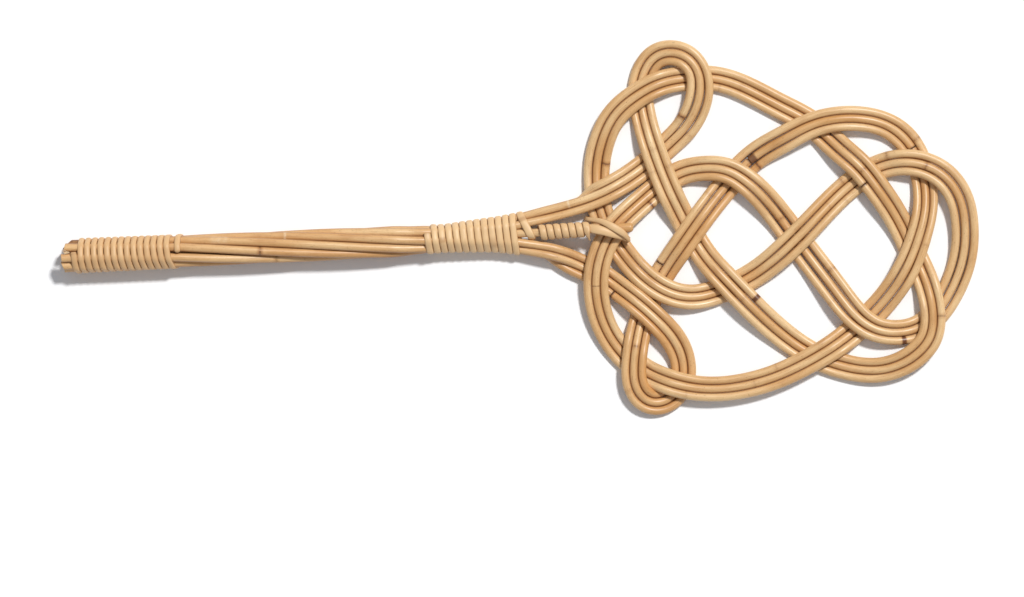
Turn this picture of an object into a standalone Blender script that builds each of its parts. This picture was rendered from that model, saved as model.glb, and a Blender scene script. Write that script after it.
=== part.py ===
"""Rattan carpet beater: three parallel canes woven into a pretzel-shaped head and bound into a handle.

The head is one band of three canes. Both ends of the band run back into the handle, where the six
cane ends lie round a straight core cane, with two filler canes, under a grip binding and a collar
binding. The core cane leaves the collar as a spoke and is lashed on top of the knot's first crossing.
Metres, +Z up. The beater lies on its back at z = 0 with the handle towards -X.
"""

import math
from dataclasses import dataclass

import bmesh
import bpy
import numpy as np

# Driving sizes, in metres
handle_length = 0.3756
handle_bend = 0.0016
head_length = 0.3756
head_width = 0.3055
cane_diameter = 0.0066
cane_gap = 0.0003
crossing_gap = 0.0006
grip_length = 0.0810
grip_overhang = 0.0118
collar_length = 0.0768
collar_neck_clearance = 0.0007614
grip_strand_width = 0.0043
collar_strand_width = 0.0051
strand_thickness = 0.0014
strand_gap = 0.00075
spoke_strand_width = 0.0041
spoke_strand_thickness = 0.0028
lashing_strand_width = 0.0052
binding_gap = 0.0004
splice_gap = 0.0006
handle_tilt = math.radians(2.55)
twist_length = 0.6349206
grip_twist_length = 1.3636364

# How finely the canes and bindings are drawn, and how they are compared with themselves
chord_error = 0.0006
longest_step = 0.024
tuck_care_share = 4.0
trace_step = 0.0015
cane_round_count = 2
strand_round_count = 1
strand_chord_error = 0.00021
strand_step = 0.012
fine_points = 72
settle_rounds = 3
spoke_loop_points = 12
lashing_step = 0.0042
section_steps = (11, 2, 3, 3, 2)
weld_share = 0.001
own_run_width_share = 4
own_run_pitch_share = 8
cane_roughness = 0.45

cane_pitch = cane_diameter + cane_gap
level_lift = cane_diameter + crossing_gap
tie_lift = strand_thickness + 2 * binding_gap
strand_seat = binding_gap + strand_thickness / 2
floor_level = cane_diameter / 2
full_turn = 2 * math.pi

# The picture that the route was drawn on, in pixels: the neck, and the head's outer edges
neck_px = (520.0, 234.2)
centre_row_px = 227.75
head_right_px = 978.0
head_top_px = 41.5
head_bottom_px = 414.0

# Middle cane of the band, from the collar round the knot and back: column and row in the picture,
# then how far apart the three canes lie there, as a share of the cane pitch
band_route_px_share = [
    (545, 210.5, 1.0), (570, 204, 1.0), (600, 193.5, 1.0), (620, 183, 1.0), (640, 169.5, 1.0),
    (656, 156, 1.0), (671, 142, 1.01), (685.5, 127, 1.07), (696, 108, 1.12), (700, 90, 1.1),
    (697, 70, 1.0), (688, 58.5, 1.0), (671, 52.5, 1.0), (655, 57, 1.0), (645, 70, 1.0),
    (640.5, 88, 1.0), (642, 108, 1.0), (647, 130, 1.0), (656, 158, 1.03), (670, 193, 1.03),
    (690, 232, 1.03), (708, 260, 1.05), (726, 280, 1.09), (753, 308, 1.09), (780, 332.5, 1.05),
    (815, 356, 1.03), (850, 368, 1.01), (880, 370, 1.0), (901, 364, 1.0), (918, 353, 1.0),
    (929.5, 338, 1.0), (933, 320, 1.0), (931, 300, 1.0), (925.5, 280, 1.01), (915, 256, 1.02),
    (903, 230, 1.02), (890, 207, 1.05), (876, 187, 1.07), (860, 167, 1.09), (841, 150, 1.11),
    (812, 124, 1.07), (780, 106, 1.02), (750, 90.5, 1.02), (720, 79.5, 1.0), (690, 78, 1.0),
    (660, 83.5, 1.0), (635, 97, 1.0), (615, 115, 1.02), (603, 138, 1.03), (597, 165, 1.05),
    (597, 190, 1.0), (601, 213, 1.0), (612, 236, 1.0), (627, 258, 1.0), (643.5, 276, 1.0),
    (661.5, 289, 1.0), (680, 296, 1.0), (700, 296.5, 1.0), (720, 291, 1.0), (745, 280, 1.03),
    (765, 267, 1.05), (787, 248, 1.09), (810, 225, 1.07), (835, 199, 1.03), (860, 178, 1.03),
    (880, 167, 1.03), (900, 162.5, 1.05), (925, 165.5, 1.07), (945, 177, 1.09), (959, 197, 1.11),
    (965, 225, 1.11), (963, 258, 1.11), (950, 293, 1.09), (935, 315, 1.05), (918, 328, 1.01),
    (897, 332.5, 1.0), (875, 329, 1.01), (855, 315, 1.13), (837, 293, 1.2), (812, 260, 1.2),
    (790, 231, 1.17), (770, 205, 1.13), (748, 183, 1.07), (725, 170, 1.01), (702, 168.5, 1.0),
    (681, 173, 1.0), (661, 185.5, 1.0), (642, 201.5, 1.01), (624.5, 217.5, 1.03), (611, 233, 1.01),
    (601.5, 252, 1.0), (596.5, 272, 1.0), (596, 292, 1.0), (600, 314, 1.0), (610, 337, 1.01),
    (627, 358, 1.05), (647, 372.5, 1.03), (672, 383, 1.03), (700, 388.5, 1.0), (740, 386.5, 1.0),
    (775, 377, 1.0), (810, 360.5, 1.0), (842, 340.5, 1.03), (870, 316.5, 1.07), (893, 290, 1.07),
    (908, 265, 1.07), (919, 236, 1.0), (925.5, 205, 1.0), (924, 180, 1.0), (917, 157, 1.01),
    (902, 135.5, 1.03), (885, 124.5, 1.0), (862, 119, 1.0), (838, 119, 1.0), (812, 125, 1.01),
    (785, 138.5, 1.09), (757, 155, 1.11), (733, 178, 1.09), (707, 210, 1.05), (682, 245, 1.03),
    (662, 275, 1.01), (647, 305, 1.0), (638, 335, 1.0), (634, 363, 1.0), (636, 387, 1.0),
    (646, 400, 1.0), (659, 402.5, 1.0), (672, 396.5, 1.0), (682, 382, 1.0), (683, 362, 1.01),
    (674.5, 341, 1.05), (658.5, 322, 1.01), (638, 303.5, 1.0), (616, 286.5, 1.0), (600, 275.5, 1.0),
    (583, 267.5, 1.0), (565, 260, 1.0), (545, 254.5, 1.0),
]

# Level of the band at each crossing that it meets along its route: 0 passes under and 1 over
weave = "10101101010100100101010101011011010101001010"

# Where lengths of cane meet: the crossing, and how many cane diameters beyond it
splice_places_shares = {
    "centre": [(7, 1.6), (35, 2.2), (37, -2.4)],
    "left": [(12, 0.3), (44, -3.1)],
    "right": [(39, -2.6)],
}

# The six band ends stand in this order round the core, from the one on top, with two fillers
ring_order = ["right_low", "centre_low", "left_low", "filler_b", "filler_a",
              "left_high", "centre_high", "right_high"]

# Places along the handle, as shares of its length from the neck
filler_end_shares = {"filler_a": 0.28, "filler_b": 0.225}
ring_of_seven_share = 0.225
spread_start_share = 0.165
spread_middle_share = 0.048
twist_start_share = 0.092
neck_share = 0.005
grip_end_share = 0.742
bend_shares = (0.05, 0.30)
swell_shares = (0.03, 0.24)

# How much thicker the canes are in the handle, and how loosely they lie round the core: by share
# of the handle's length, the ring's slack, which all shows as one gap above the first filler
handle_swell_share = 0.05
slack_shares = ((0.30, 0.0), (0.40, 0.02), (0.742, 0.02), (0.80, 0.012), (0.94, 0.012), (1.0, 0.035))
butt_shares = {
    "right_low": 0.0, "centre_low": 0.004, "left_low": 0.013, "filler_b": 0.0, "filler_a": 0.003,
    "left_high": 0.002, "centre_high": 0.006, "right_high": 0.004, "core": 0.012,
}

# Where along the band the left-hand cane starts to come out from under the middle one and how far
# it takes, how far beyond the neck the bindings may lie, and how much of the way between two
# crossings a cane stays level beside each
emerge_start = 0.009
emerge_length = 0.026
bundle_reach = 0.045
hold_share = 0.06

# How low the lowest canes lie at the two ends and in the middle of the collar's spread
lowest_cane_shares = {"neck": 0.91, "middle": 0.9, "ring": 1.0}

# Cane centres across the collar, in cane pitches: the middle of the spread, then the neck
spread_middle_shares = {
    "centre_high": (-1.58, 0.0), "right_high": (-0.86, 0.76), "core": (-0.08, 0.0),
    "right_low": (0.66, 0.76), "centre_low": (1.38, 0.0), "left_high": (-0.98, -0.86),
    "left_low": (0.78, -0.86),
}
neck_shares = {
    "centre_high": (-1.94, -0.05), "right_high": (-1.09, 0.5), "core": (-0.08, 0.46),
    "right_low": (0.95, 0.5), "centre_low": (1.80, -0.05), "left_high": (-1.26, -0.87),
    "left_low": (1.12, -0.87),
}

# The core cane beyond the neck: column and row in the picture, then its height in levels
spoke_route_px_share = [(545, 232.2, 1.55), (568, 230.6, 1.85), (590, 229.4, 2.0), (612, 228.2, 2.0),
                        (633, 227.0, 2.0)]
spoke_binding_px = (537.5, 588.0)

# How the two windings of the handle lie: where round the handle each starts and ends, how much a
# turn slants along the handle for each length across it, how far its top hangs back, and how much
# further on the last turn lies
grip_angles = (math.radians(90.0), math.radians(98.0))
collar_angles = (math.radians(75.0), 0.0)
grip_slant_share = 0.04
collar_slant_share = 0.02
grip_bow = 0.0021
grip_last_gap = 0.0026

# The collar strand's tail: how much it slants as it runs over the upper canes, and the angle round
# the handle where it leaves them for the spoke, and where it ends beside that
tail_slant_share = 0.5
tail_angles = (math.radians(90.0), math.radians(170.0))
tail_step = math.radians(8.0)

# The tie's middle in the picture, and how far from it and the neck the strands lift the canes
tie_px = (611.0, 231.0)
lift_inner_radius = 0.030
lift_outer_radius = 0.058

# The lashing round the tie: column and row in the picture, then its height as a share of the way
# from below the lowest canes up over the spoke
lashing_route_px_share = [
    (592.6, 227.0, 1.0), (596, 228.4, 1.0), (600, 230.0, 1.0), (606, 232.2, 1.0),
    (612, 234.4, 0.97), (618, 236.4, 0.88), (624, 238.0, 0.73), (629, 239.0, 0.55),
    (632.5, 239.4, 0.38), (633.2, 239.4, 0.2), (631.6, 238.8, 0.06), (626, 237.0, 0.0),
    (615, 232, 0.0), (602, 225.2, 0.0), (591, 220.6, 0.0), (586.2, 218.6, 0.06),
    (584.8, 217.8, 0.2), (585.6, 217.8, 0.4), (590.5, 218.6, 0.6), (599, 220.8, 0.83),
    (606, 223.6, 0.97), (612, 226.6, 1.02), (618, 230.0, 1.02), (624, 233.4, 0.96),
    (630.2, 236.4, 0.80), (634.6, 238.2, 0.6), (635.8, 238.7, 0.42),
]
lashing_ends_px = ((587.0, 219.0), (632.0, 240.0))


def clear_scene():
    """Remove whatever objects the file opened with."""
    for item in list(bpy.data.objects):
        bpy.data.objects.remove(item, do_unlink=True)


def smooth_step(value):
    """Ease from 0 to 1, level at both ends."""
    value = np.clip(value, 0.0, 1.0)
    return value * value * (3 - 2 * value)


def spline_through(points, knots, places):
    """Read a natural cubic spline through the points at the given places along it."""
    count = len(knots)
    spans = np.diff(knots)
    slopes = np.diff(points, axis=0) / spans[:, None]
    matrix = np.eye(count)
    right_side = np.zeros_like(points)
    for index in range(1, count - 1):
        matrix[index, index - 1] = spans[index - 1]
        matrix[index, index] = 2 * (spans[index - 1] + spans[index])
        matrix[index, index + 1] = spans[index]
        right_side[index] = 6 * (slopes[index] - slopes[index - 1])
    bends = np.linalg.solve(matrix, right_side)
    cell = np.clip(np.searchsorted(knots, places, side="right") - 1, 0, count - 2)
    span = spans[cell][:, None]
    before = (knots[cell + 1] - places)[:, None]
    after = (places - knots[cell])[:, None]
    return (
        bends[cell] * before ** 3 / (6 * span)
        + bends[cell + 1] * after ** 3 / (6 * span)
        + (points[cell] / span - bends[cell] * span / 6) * before
        + (points[cell + 1] / span - bends[cell + 1] * span / 6) * after
    )


def distance_along(points):
    """Running length of a line of points."""
    steps = np.linalg.norm(np.diff(points, axis=0), axis=1)
    return np.concatenate([[0.0], np.cumsum(steps)])


def thin_out(lines, error, longest):
    """Places to keep along lines traced together, so that no chord of any strays past the error."""
    kept = [0]
    last = len(lines[0]) - 1
    while kept[-1] < last:
        start = kept[-1]
        reach = start + 1
        while reach < last and furthest_stray(lines, start, reach + 1, longest) < error:
            reach += 1
        kept.append(reach)
    return np.array(kept)


def furthest_stray(lines, start, end, longest):
    """Furthest that the traced lines lie from their chords between two places."""
    furthest = 0.0
    for line in lines:
        chord = line[end] - line[start]
        length = np.linalg.norm(chord)
        if length > longest:
            return float("inf")
        spread = line[start:end + 1] - line[start]
        across = spread - np.outer(spread @ chord, chord) / max(length ** 2, chord_error ** 4)
        furthest = max(furthest, float(np.linalg.norm(across, axis=1).max()))
    return furthest


def place_in_head(column, row):
    """Turn a place in the picture into metres in the plan of the head."""
    across = head_length / (head_right_px - neck_px[0])
    down = head_width / (head_bottom_px - head_top_px)
    return (column - neck_px[0]) * across, (centre_row_px - row) * down


def neck_row():
    """Height of the handle's axis in plan, where it meets the head."""
    return place_in_head(*neck_px)[1]


def handle_axis(share):
    """Plan place of the handle's axis, by share of its length from the neck."""
    along = handle_length * share
    start, end = bend_shares
    bend = handle_bend * smooth_step((share - start) / (end - start))
    return -along, neck_row() - along * math.tan(handle_tilt) - bend


def cane_swell(share):
    """Thickness of the canes in the handle, as a share of their thickness in the head."""
    start, end = swell_shares
    return 1 + handle_swell_share * float(smooth_step((share - start) / (end - start)))


def ring_pitch(share):
    """Distance between neighbouring canes in the handle."""
    return cane_diameter * cane_swell(share) + cane_gap


def even_step(share):
    """Angle between evenly spread neighbours: eight canes at the butt, seven, then six in the collar."""
    opening, closing = filler_end_shares["filler_a"], filler_end_shares["filler_b"]
    first = smooth_step((opening - share) / (opening - ring_of_seven_share))
    second = smooth_step((closing - share) / (closing - spread_start_share))
    eight, seven, six = (full_turn / count for count in (8, 7, 6))
    return eight + (seven - eight) * first + (six - seven) * second


def ring_radius(share):
    """Radius of the ring of canes round the core."""
    tight = ring_pitch(share) / (2 * math.sin(even_step(share) / 2))
    return tight * (1 + np.interp(share, *zip(*slack_shares)))


def ring_twist(share):
    """Angle that the ring has turned through between the collar and a place along the handle."""
    shaft = min(share, grip_end_share) - twist_start_share
    grip = max(share - grip_end_share, 0.0)
    turns = handle_length * (max(shaft, 0.0) / twist_length + grip / grip_twist_length)
    return full_turn * turns


def bundle_place(name, share):
    """Offset of a cane from the handle's axis, towards -Y and towards +Z."""
    if name == "core":
        return 0.0, 0.0
    slot = ring_order.index(name)
    radius = ring_radius(share)
    step = 2 * math.asin(ring_pitch(share) / (2 * radius))
    turns = slot if name.endswith("low") or name == "filler_b" else slot - len(ring_order)
    angle = full_turn / 12 - ring_twist(share) + turns * step
    if name == "filler_b":
        angle += len(ring_order) * (even_step(share) - step)
    return radius * math.sin(angle), radius * math.cos(angle)


def axis_height(share):
    """Height of the handle's axis: the bindings just touch the floor."""
    lowest = lowest_cane_shares
    if share < spread_start_share:
        drop = ring_pitch(share) * np.interp(share, (neck_share, spread_middle_share, spread_start_share),
                                             (lowest["neck"], lowest["middle"], lowest["ring"]))
    else:
        drop = ring_radius(share)
    return float(drop) + cane_diameter * cane_swell(share) / 2 + binding_gap + strand_thickness


def handle_point(name, share):
    """Centre of a named cane at a place along the handle, in metres, and the cane's radius there."""
    across, up = bundle_place(name, max(share, spread_start_share))
    if share < spread_start_share:
        pitch = ring_pitch(share)
        middle = spread_middle_shares[name]
        neck = neck_shares[name]
        if share > spread_middle_share:
            blend = (spread_start_share - share) / (spread_start_share - spread_middle_share)
            across += (middle[0] * pitch - across) * blend
            up += (middle[1] * pitch - up) * blend
        else:
            blend = (spread_middle_share - share) / (spread_middle_share - neck_share)
            across = (middle[0] + (neck[0] - middle[0]) * blend) * pitch
            up = (middle[1] + (neck[1] - middle[1]) * blend) * pitch
    x, y = handle_axis(share)
    return np.array([x, y - across, axis_height(share) + up, cane_diameter / 2 * cane_swell(share)])


def strand_rise(plan):
    """How far the strands underneath hold up whatever lies near the neck and the tie."""
    neck, tie = (np.array(place_in_head(*place)) for place in (neck_px, tie_px))
    run = tie - neck
    share = np.clip((plan - neck) @ run / (run @ run), 0.0, 1.0)
    away = np.linalg.norm(plan - neck - share[..., None] * run, axis=-1)
    return tie_lift * smooth_step((lift_outer_radius - away) / (lift_outer_radius - lift_inner_radius))


class Bundle:
    """The canes of the handle and just beyond the neck, as centre lines for the windings to lie on."""

    def __init__(self, lines):
        self.lines = []
        for line in lines:
            near = line[line[:, 0] < bundle_reach]
            self.lines.append(near[np.argsort(near[:, 0])])

    def outermost(self, x, outward, margin):
        """Centre and reach outwards of the cane that stands out furthest in one cross-section."""
        furthest = (None, -math.inf)
        for line in self.lines:
            if line[0, 0] - margin <= x <= line[-1, 0] + margin:
                y, z, radius = (np.interp(x, line[:, 0], line[:, column]) for column in (1, 2, 3))
                centre = np.array([x, y, z])
                reach = float(centre @ outward + radius)
                if reach > furthest[1]:
                    furthest = (centre, reach)
        return furthest

    def seat(self, x, angle, width):
        """Point and outward direction of a strand drawn tight round the canes, at an angle round them."""
        outward = np.array([0.0, math.cos(angle), math.sin(angle)])
        sections = [self.outermost(place, outward, width / 2) for place in (x - width / 2, x, x + width / 2)]
        before, here, after = (reach for _, reach in sections)
        slope = (after - before) / width
        out = max((before + after) / 2, here) + strand_seat * math.hypot(1.0, slope)
        centre = sections[1][0]
        normal = outward - np.array([slope, 0.0, 0.0])
        return centre + outward * (out - float(centre @ outward)), normal / np.linalg.norm(normal)

    def turn_point(self, winding, angle):
        """Point and outward direction of a turn, by its angle round the handle."""
        x = -winding.start + winding.pitch * (angle - winding.angles[0]) / full_turn
        for _ in range(settle_rounds):
            point, normal = self.seat(x, angle, winding.width)
            x = winding.place_along(point, angle)
        point[0] = x
        return point, normal

    def tail_point(self, top, angle, width):
        """Point and outward direction of the tail that slants away from the last turn's top."""
        x = top[0]
        for _ in range(settle_rounds):
            point, normal = self.seat(x, angle, width)
            x = top[0] + tail_slant_share * (top[1] - point[1])
        point[0] = x
        return point, normal


class Band:
    """The band of three canes: its plan, its crossings and the height of each cane along it."""

    sides = {"left": 1.0, "centre": 0.0, "right": -1.0}

    def __init__(self):
        route = np.array(band_route_px_share, dtype=float)
        plan = np.array([place_in_head(column, row) for column, row in route[:, :2]])
        knots = distance_along(plan)
        self.length = knots[-1]
        count = int(self.length / trace_step)
        self.along = np.linspace(0.0, self.length, count)
        table = np.column_stack([plan, route[:, 2]])
        traced = spline_through(table, knots, self.along)
        tangent = np.gradient(traced[:, :2], axis=0)
        tangent /= np.linalg.norm(tangent, axis=1)[:, None]
        normal = np.column_stack([-tangent[:, 1], tangent[:, 0]])
        offset = normal * (traced[:, 2] * cane_pitch)[:, None]
        self.plans = {name: traced[:, :2] + offset * side for name, side in self.sides.items()}
        self.crossings = self.find_band_crossings()
        heights = {name: self.cane_height(name) for name in self.sides}
        tuck_in = 1 - smooth_step((self.along - emerge_start) / emerge_length)
        tuck_out = np.clip((heights["centre"] - floor_level) / level_lift, 0.0, 1.0)
        tuck = np.where(self.along < self.length / 2, tuck_in, tuck_out)
        last_crossing = self.cane_levels("centre")[-1][0]
        tuck[(self.along < last_crossing) & (self.along > emerge_start + emerge_length)] = 0.0
        beside = np.sqrt(1 - tuck ** 2)
        self.plans["left"] = traced[:, :2] + offset * beside[:, None]
        heights["left"] = heights["left"] * (tuck == 0) + (heights["centre"] - level_lift * tuck) * (tuck > 0)
        self.lines = {}
        for name in self.sides:
            lifted = heights[name] + strand_rise(self.plans[name])
            radii = np.full(len(lifted), cane_diameter / 2)
            self.lines[name] = np.column_stack([self.plans[name], lifted, radii])

    def line_crossings(self, first, second):
        """Places along two traced lines where they cross in plan."""
        start_a, step_a = first[:-1], np.diff(first, axis=0)
        start_b, step_b = second[:-1], np.diff(second, axis=0)
        between = start_b[None, :, :] - start_a[:, None, :]
        cross = step_a[:, None, 0] * step_b[None, :, 1] - step_a[:, None, 1] * step_b[None, :, 0]
        cross = np.where(cross == 0, np.inf, cross)
        on_a = (between[..., 0] * step_b[None, :, 1] - between[..., 1] * step_b[None, :, 0]) / cross
        on_b = (between[..., 0] * step_a[:, None, 1] - between[..., 1] * step_a[:, None, 0]) / cross
        hit = (on_a >= 0) & (on_a < 1) & (on_b >= 0) & (on_b < 1)
        rows, columns = np.nonzero(hit)
        apart = np.abs(rows - columns) * trace_step > own_run_pitch_share * cane_pitch
        unit = self.along[1] - self.along[0]
        found = []
        for row, column in zip(rows[apart], columns[apart]):
            found.append(((row + on_a[row, column]) * unit, (column + on_b[row, column]) * unit))
        return found

    def find_band_crossings(self):
        """Crossings of the middle cane with itself, as (place, other place, level) in travel order."""
        pairs = self.line_crossings(self.plans["centre"], self.plans["centre"])
        pairs.sort()
        if len(pairs) != len(weave):
            print("band crossings found", len(pairs), "but the weave names", len(weave))
        return [(here, there, int(level)) for (here, there), level in zip(pairs, weave)]

    def cane_levels(self, name):
        """Every place where one cane crosses any cane of the band, with its level there."""
        levels = []
        for other in self.sides:
            for here, there in self.line_crossings(self.plans[name], self.plans[other]):
                nearest = min(self.crossings, key=lambda item: abs(item[0] - here) + abs(item[1] - there))
                levels.append((here, nearest[2]))
        levels.sort()
        return levels

    def cane_height(self, name):
        """Height of one cane along the band, easing between its levels at the crossings."""
        levels = self.cane_levels(name)
        places = [0.0] + [place for place, _ in levels] + [self.length]
        values = [1.0] + [level for _, level in levels] + [1.0]
        height = np.full(len(self.along), values[0])
        for index in range(len(places) - 1):
            start, end = places[index], places[index + 1]
            inside = (self.along >= start) & (self.along <= end)
            hold = (end - start) * hold_share
            ease = smooth_step((self.along[inside] - start - hold) / max(end - start - 2 * hold, trace_step))
            height[inside] = values[index] + (values[index + 1] - values[index]) * ease
        return floor_level + level_lift * height

    def splice_stations(self, name):
        """Running lengths at which one cane of the band is made up from separate lengths."""
        crossings = [item[0] for item in self.crossings]
        return sorted(crossings[number - 1] + share * cane_diameter
                      for number, share in splice_places_shares[name])


def handle_shares(name):
    """Places along the handle where a cane's centre is worked out, from the butt to the neck."""
    end = filler_end_shares.get(name, neck_share)
    marks = [1 - butt_shares[name], filler_end_shares["filler_a"], ring_of_seven_share,
             spread_start_share, spread_middle_share, neck_share]
    shares = [marks[0]]
    for start, stop, steps in zip(marks, marks[1:], section_steps):
        shares.extend(np.linspace(start, stop, steps + 1)[1:])
    return [share for share in shares if share >= end]


def handle_line(name):
    """Centre line of one cane in the handle, from the butt to the neck."""
    return np.array([handle_point(name, share) for share in handle_shares(name)])


def new_material(name, colour, roughness):
    """Principled material for one piece."""
    material = bpy.data.materials.new(name)
    material.use_nodes = True
    shader = material.node_tree.nodes["Principled BSDF"]
    shader.inputs["Base Color"].default_value = (*colour, 1.0)
    shader.inputs["Roughness"].default_value = roughness
    shader.inputs["Metallic"].default_value = 0.0
    material.diffuse_color = (*colour, 1.0)
    return material


cane_colour = (0.62, 0.41, 0.21)
skin_colour = (0.58, 0.31, 0.11)
strand_colour = (0.74, 0.55, 0.33)


def add_tube(collection, name, points, width, rounding, colour):
    """Round cane or strand along a line of points, each with its radius."""
    curve = bpy.data.curves.new(name, "CURVE")
    curve.dimensions = "3D"
    curve.bevel_depth = width / 2
    curve.bevel_resolution = rounding
    curve.use_fill_caps = True
    spline = curve.splines.new("POLY")
    spline.points.add(len(points) - 1)
    for slot, point in zip(spline.points, points):
        slot.co = (*point[:3], 1.0)
        slot.radius = point[3] * 2 / width
    spline.use_smooth = True
    tube = bpy.data.objects.new(name, curve)
    collection.objects.link(tube)
    curve.materials.append(new_material(name, colour, cane_roughness))
    return tube


def add_strip(collection, name, points, normals, width, thickness):
    """Split-cane strand: a tube along the points, pressed flat against what it is wound on."""
    round_points = np.column_stack([points, np.full(len(points), width / 2)])
    tube = add_tube(collection, name, round_points, width, strand_round_count, strand_colour)
    bpy.context.view_layer.update()
    mesh = bpy.data.meshes.new_from_object(tube.evaluated_get(bpy.context.evaluated_depsgraph_get()))
    work = bmesh.new()
    work.from_mesh(mesh)
    bmesh.ops.remove_doubles(work, verts=work.verts, dist=width * weld_share)
    for vertex in work.verts:
        place = np.array(vertex.co)
        nearest = int(np.argmin(np.linalg.norm(points - place, axis=1)))
        offset = place - points[nearest]
        outward = normals[nearest] * float(offset @ normals[nearest])
        vertex.co = place - outward * (1 - thickness / width)
    bmesh.ops.recalc_face_normals(work, faces=work.faces)
    work.to_mesh(mesh)
    work.free()
    mesh.shade_smooth()
    matrix = tube.matrix_world.copy()
    bpy.data.objects.remove(tube, do_unlink=True)
    strip = bpy.data.objects.new(name, mesh)
    strip.matrix_world = matrix
    collection.objects.link(strip)
    return strip


def straight_ends(points, normals, length):
    """Run both ends of a strand straight on for one strand width."""
    first = points[0] + (points[0] - points[1]) / np.linalg.norm(points[0] - points[1]) * length
    last = points[-1] + (points[-1] - points[-2]) / np.linalg.norm(points[-1] - points[-2]) * length
    lines = np.vstack([first, points, last])
    return lines, np.vstack([normals[0], normals, normals[-1]])


def least_self_gap(points, width):
    """Least clear distance between a strand and its own next turns, measured on its points."""
    least = float("inf")
    along = distance_along(points)
    for index in range(len(points)):
        later = points[np.searchsorted(along, along[index] + width * own_run_width_share):]
        if len(later) > 1:
            chords = np.diff(later, axis=0)
            lengths = np.einsum("ij,ij->i", chords, chords)
            share = np.clip(np.einsum("ij,ij->i", points[index] - later[:-1], chords) / lengths, 0, 1)
            nearest = later[:-1] + chords * share[:, None]
            least = min(least, float(np.linalg.norm(nearest - points[index], axis=1).min()))
    return least - width


def route_strip(route, lowest, highest, middle, run=(0.0, 0.0, 0.0)):
    """Points of a hand-laid strand, with outward directions away from a middle line or point."""
    points = np.array([[*place_in_head(column, row), lowest + (highest - lowest) * share]
                       for column, row, share in route])
    knots = distance_along(points)
    count = int(knots[-1] / lashing_step)
    points = spline_through(points, knots, np.linspace(0, knots[-1], count))
    tangents = np.gradient(points, axis=0)
    tangents /= np.linalg.norm(tangents, axis=1)[:, None]
    outward = points - middle
    outward -= np.outer(outward @ np.array(run), run)
    outward -= tangents * np.einsum("ij,ij->i", outward, tangents)[:, None]
    return points, outward / np.linalg.norm(outward, axis=1)[:, None]


@dataclass
class Winding:
    """How one strand is wound round the handle towards the neck: lengths in metres, angles in radians."""

    name: str
    width: float
    start: float
    turns: int
    angles: tuple
    slant: float
    bow: float = 0.0
    last_gap: float = 0.0

    def __post_init__(self):
        """Work out the pitch, and the angle where the last turn ends."""
        self.pitch = self.width + strand_gap
        self.end_angle = full_turn * self.turns + self.angles[1]

    def place_along(self, point, angle):
        """Place along the handle of a point of the strand, from where it lies round the axis."""
        share = -point[0] / handle_length
        out = point[1] - handle_axis(share)[1]
        angle_here = math.atan2(point[2] - axis_height(share), out)
        angle_here += full_turn * round((angle - angle_here) / full_turn)
        half_turn_left = (self.end_angle - self.angles[1] - angle_here) * 2 / full_turn
        behind = self.start - self.pitch * (angle_here - self.angles[0]) / full_turn
        behind -= self.last_gap * float(smooth_step(1 - half_turn_left))
        return -behind - self.slant * out - self.bow * math.sin(angle_here)


def add_handle_winding(collection, bundle, winding, spoke=None):
    """Strand wound round the handle, ending beside a cane or in a tail that runs onto the spoke."""
    points, normals = [], []
    for angle in np.arange(winding.angles[0], winding.end_angle, full_turn / fine_points):
        point, normal = bundle.turn_point(winding, angle)
        points.append(point)
        normals.append(normal)
    if spoke is not None:
        top = points[-1]
        leave, end = tail_angles
        for angle in np.arange(tail_step, end, tail_step):
            point, normal = (bundle if angle < leave else spoke).tail_point(top, angle, winding.width)
            points.append(point)
            normals.append(normal)
    kept = thin_out([np.array(points)], strand_chord_error, strand_step)
    points, normals = straight_ends(np.array(points)[kept], np.array(normals)[kept], winding.width)
    gap = least_self_gap(points, winding.width)
    print(winding.name, "least gap to itself", round(gap * 1000, 2), "mm")
    return add_strip(collection, winding.name, points, normals, winding.width, strand_thickness)


def spoke_line():
    """Centre line of the core cane from the neck to its free end on the tie."""
    line = []
    for column, row, level in spoke_route_px_share:
        plan = np.array(place_in_head(column, row))
        height = floor_level + level_lift * level + float(strand_rise(plan))
        line.append([*plan, height, cane_diameter / 2])
    return np.array(line)


def add_spoke_binding(collection):
    """Half-round strand wound round the spoke between the collar and the tie."""
    line = spoke_line()
    left = place_in_head(spoke_binding_px[0], neck_px[1])[0]
    right = place_in_head(spoke_binding_px[1], neck_px[1])[0]
    pitch = spoke_strand_width + strand_gap
    span = right - left - spoke_strand_width
    radius = cane_diameter / 2 + binding_gap + spoke_strand_thickness / 2
    neck = handle_point("core", neck_share)
    line = np.vstack([neck, line])
    points, normals = [], []
    for index in range(int(span / pitch * spoke_loop_points) + 1):
        angle = full_turn * index / spoke_loop_points - full_turn / 4
        x = left + spoke_strand_width / 2 + pitch * index / spoke_loop_points
        middle = np.array([x, np.interp(x, line[:, 0], line[:, 1]), np.interp(x, line[:, 0], line[:, 2])])
        normal = np.array([0.0, math.cos(angle), math.sin(angle)])
        points.append(middle + normal * radius)
        normals.append(normal)
    points, normals = straight_ends(np.array(points), np.array(normals), spoke_strand_thickness)
    gap = least_self_gap(points, spoke_strand_width)
    print("spoke_binding least gap to itself", round(gap * 1000, 2), "mm")
    return add_strip(collection, "spoke_binding", points, normals, spoke_strand_width,
                     spoke_strand_thickness)


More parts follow.
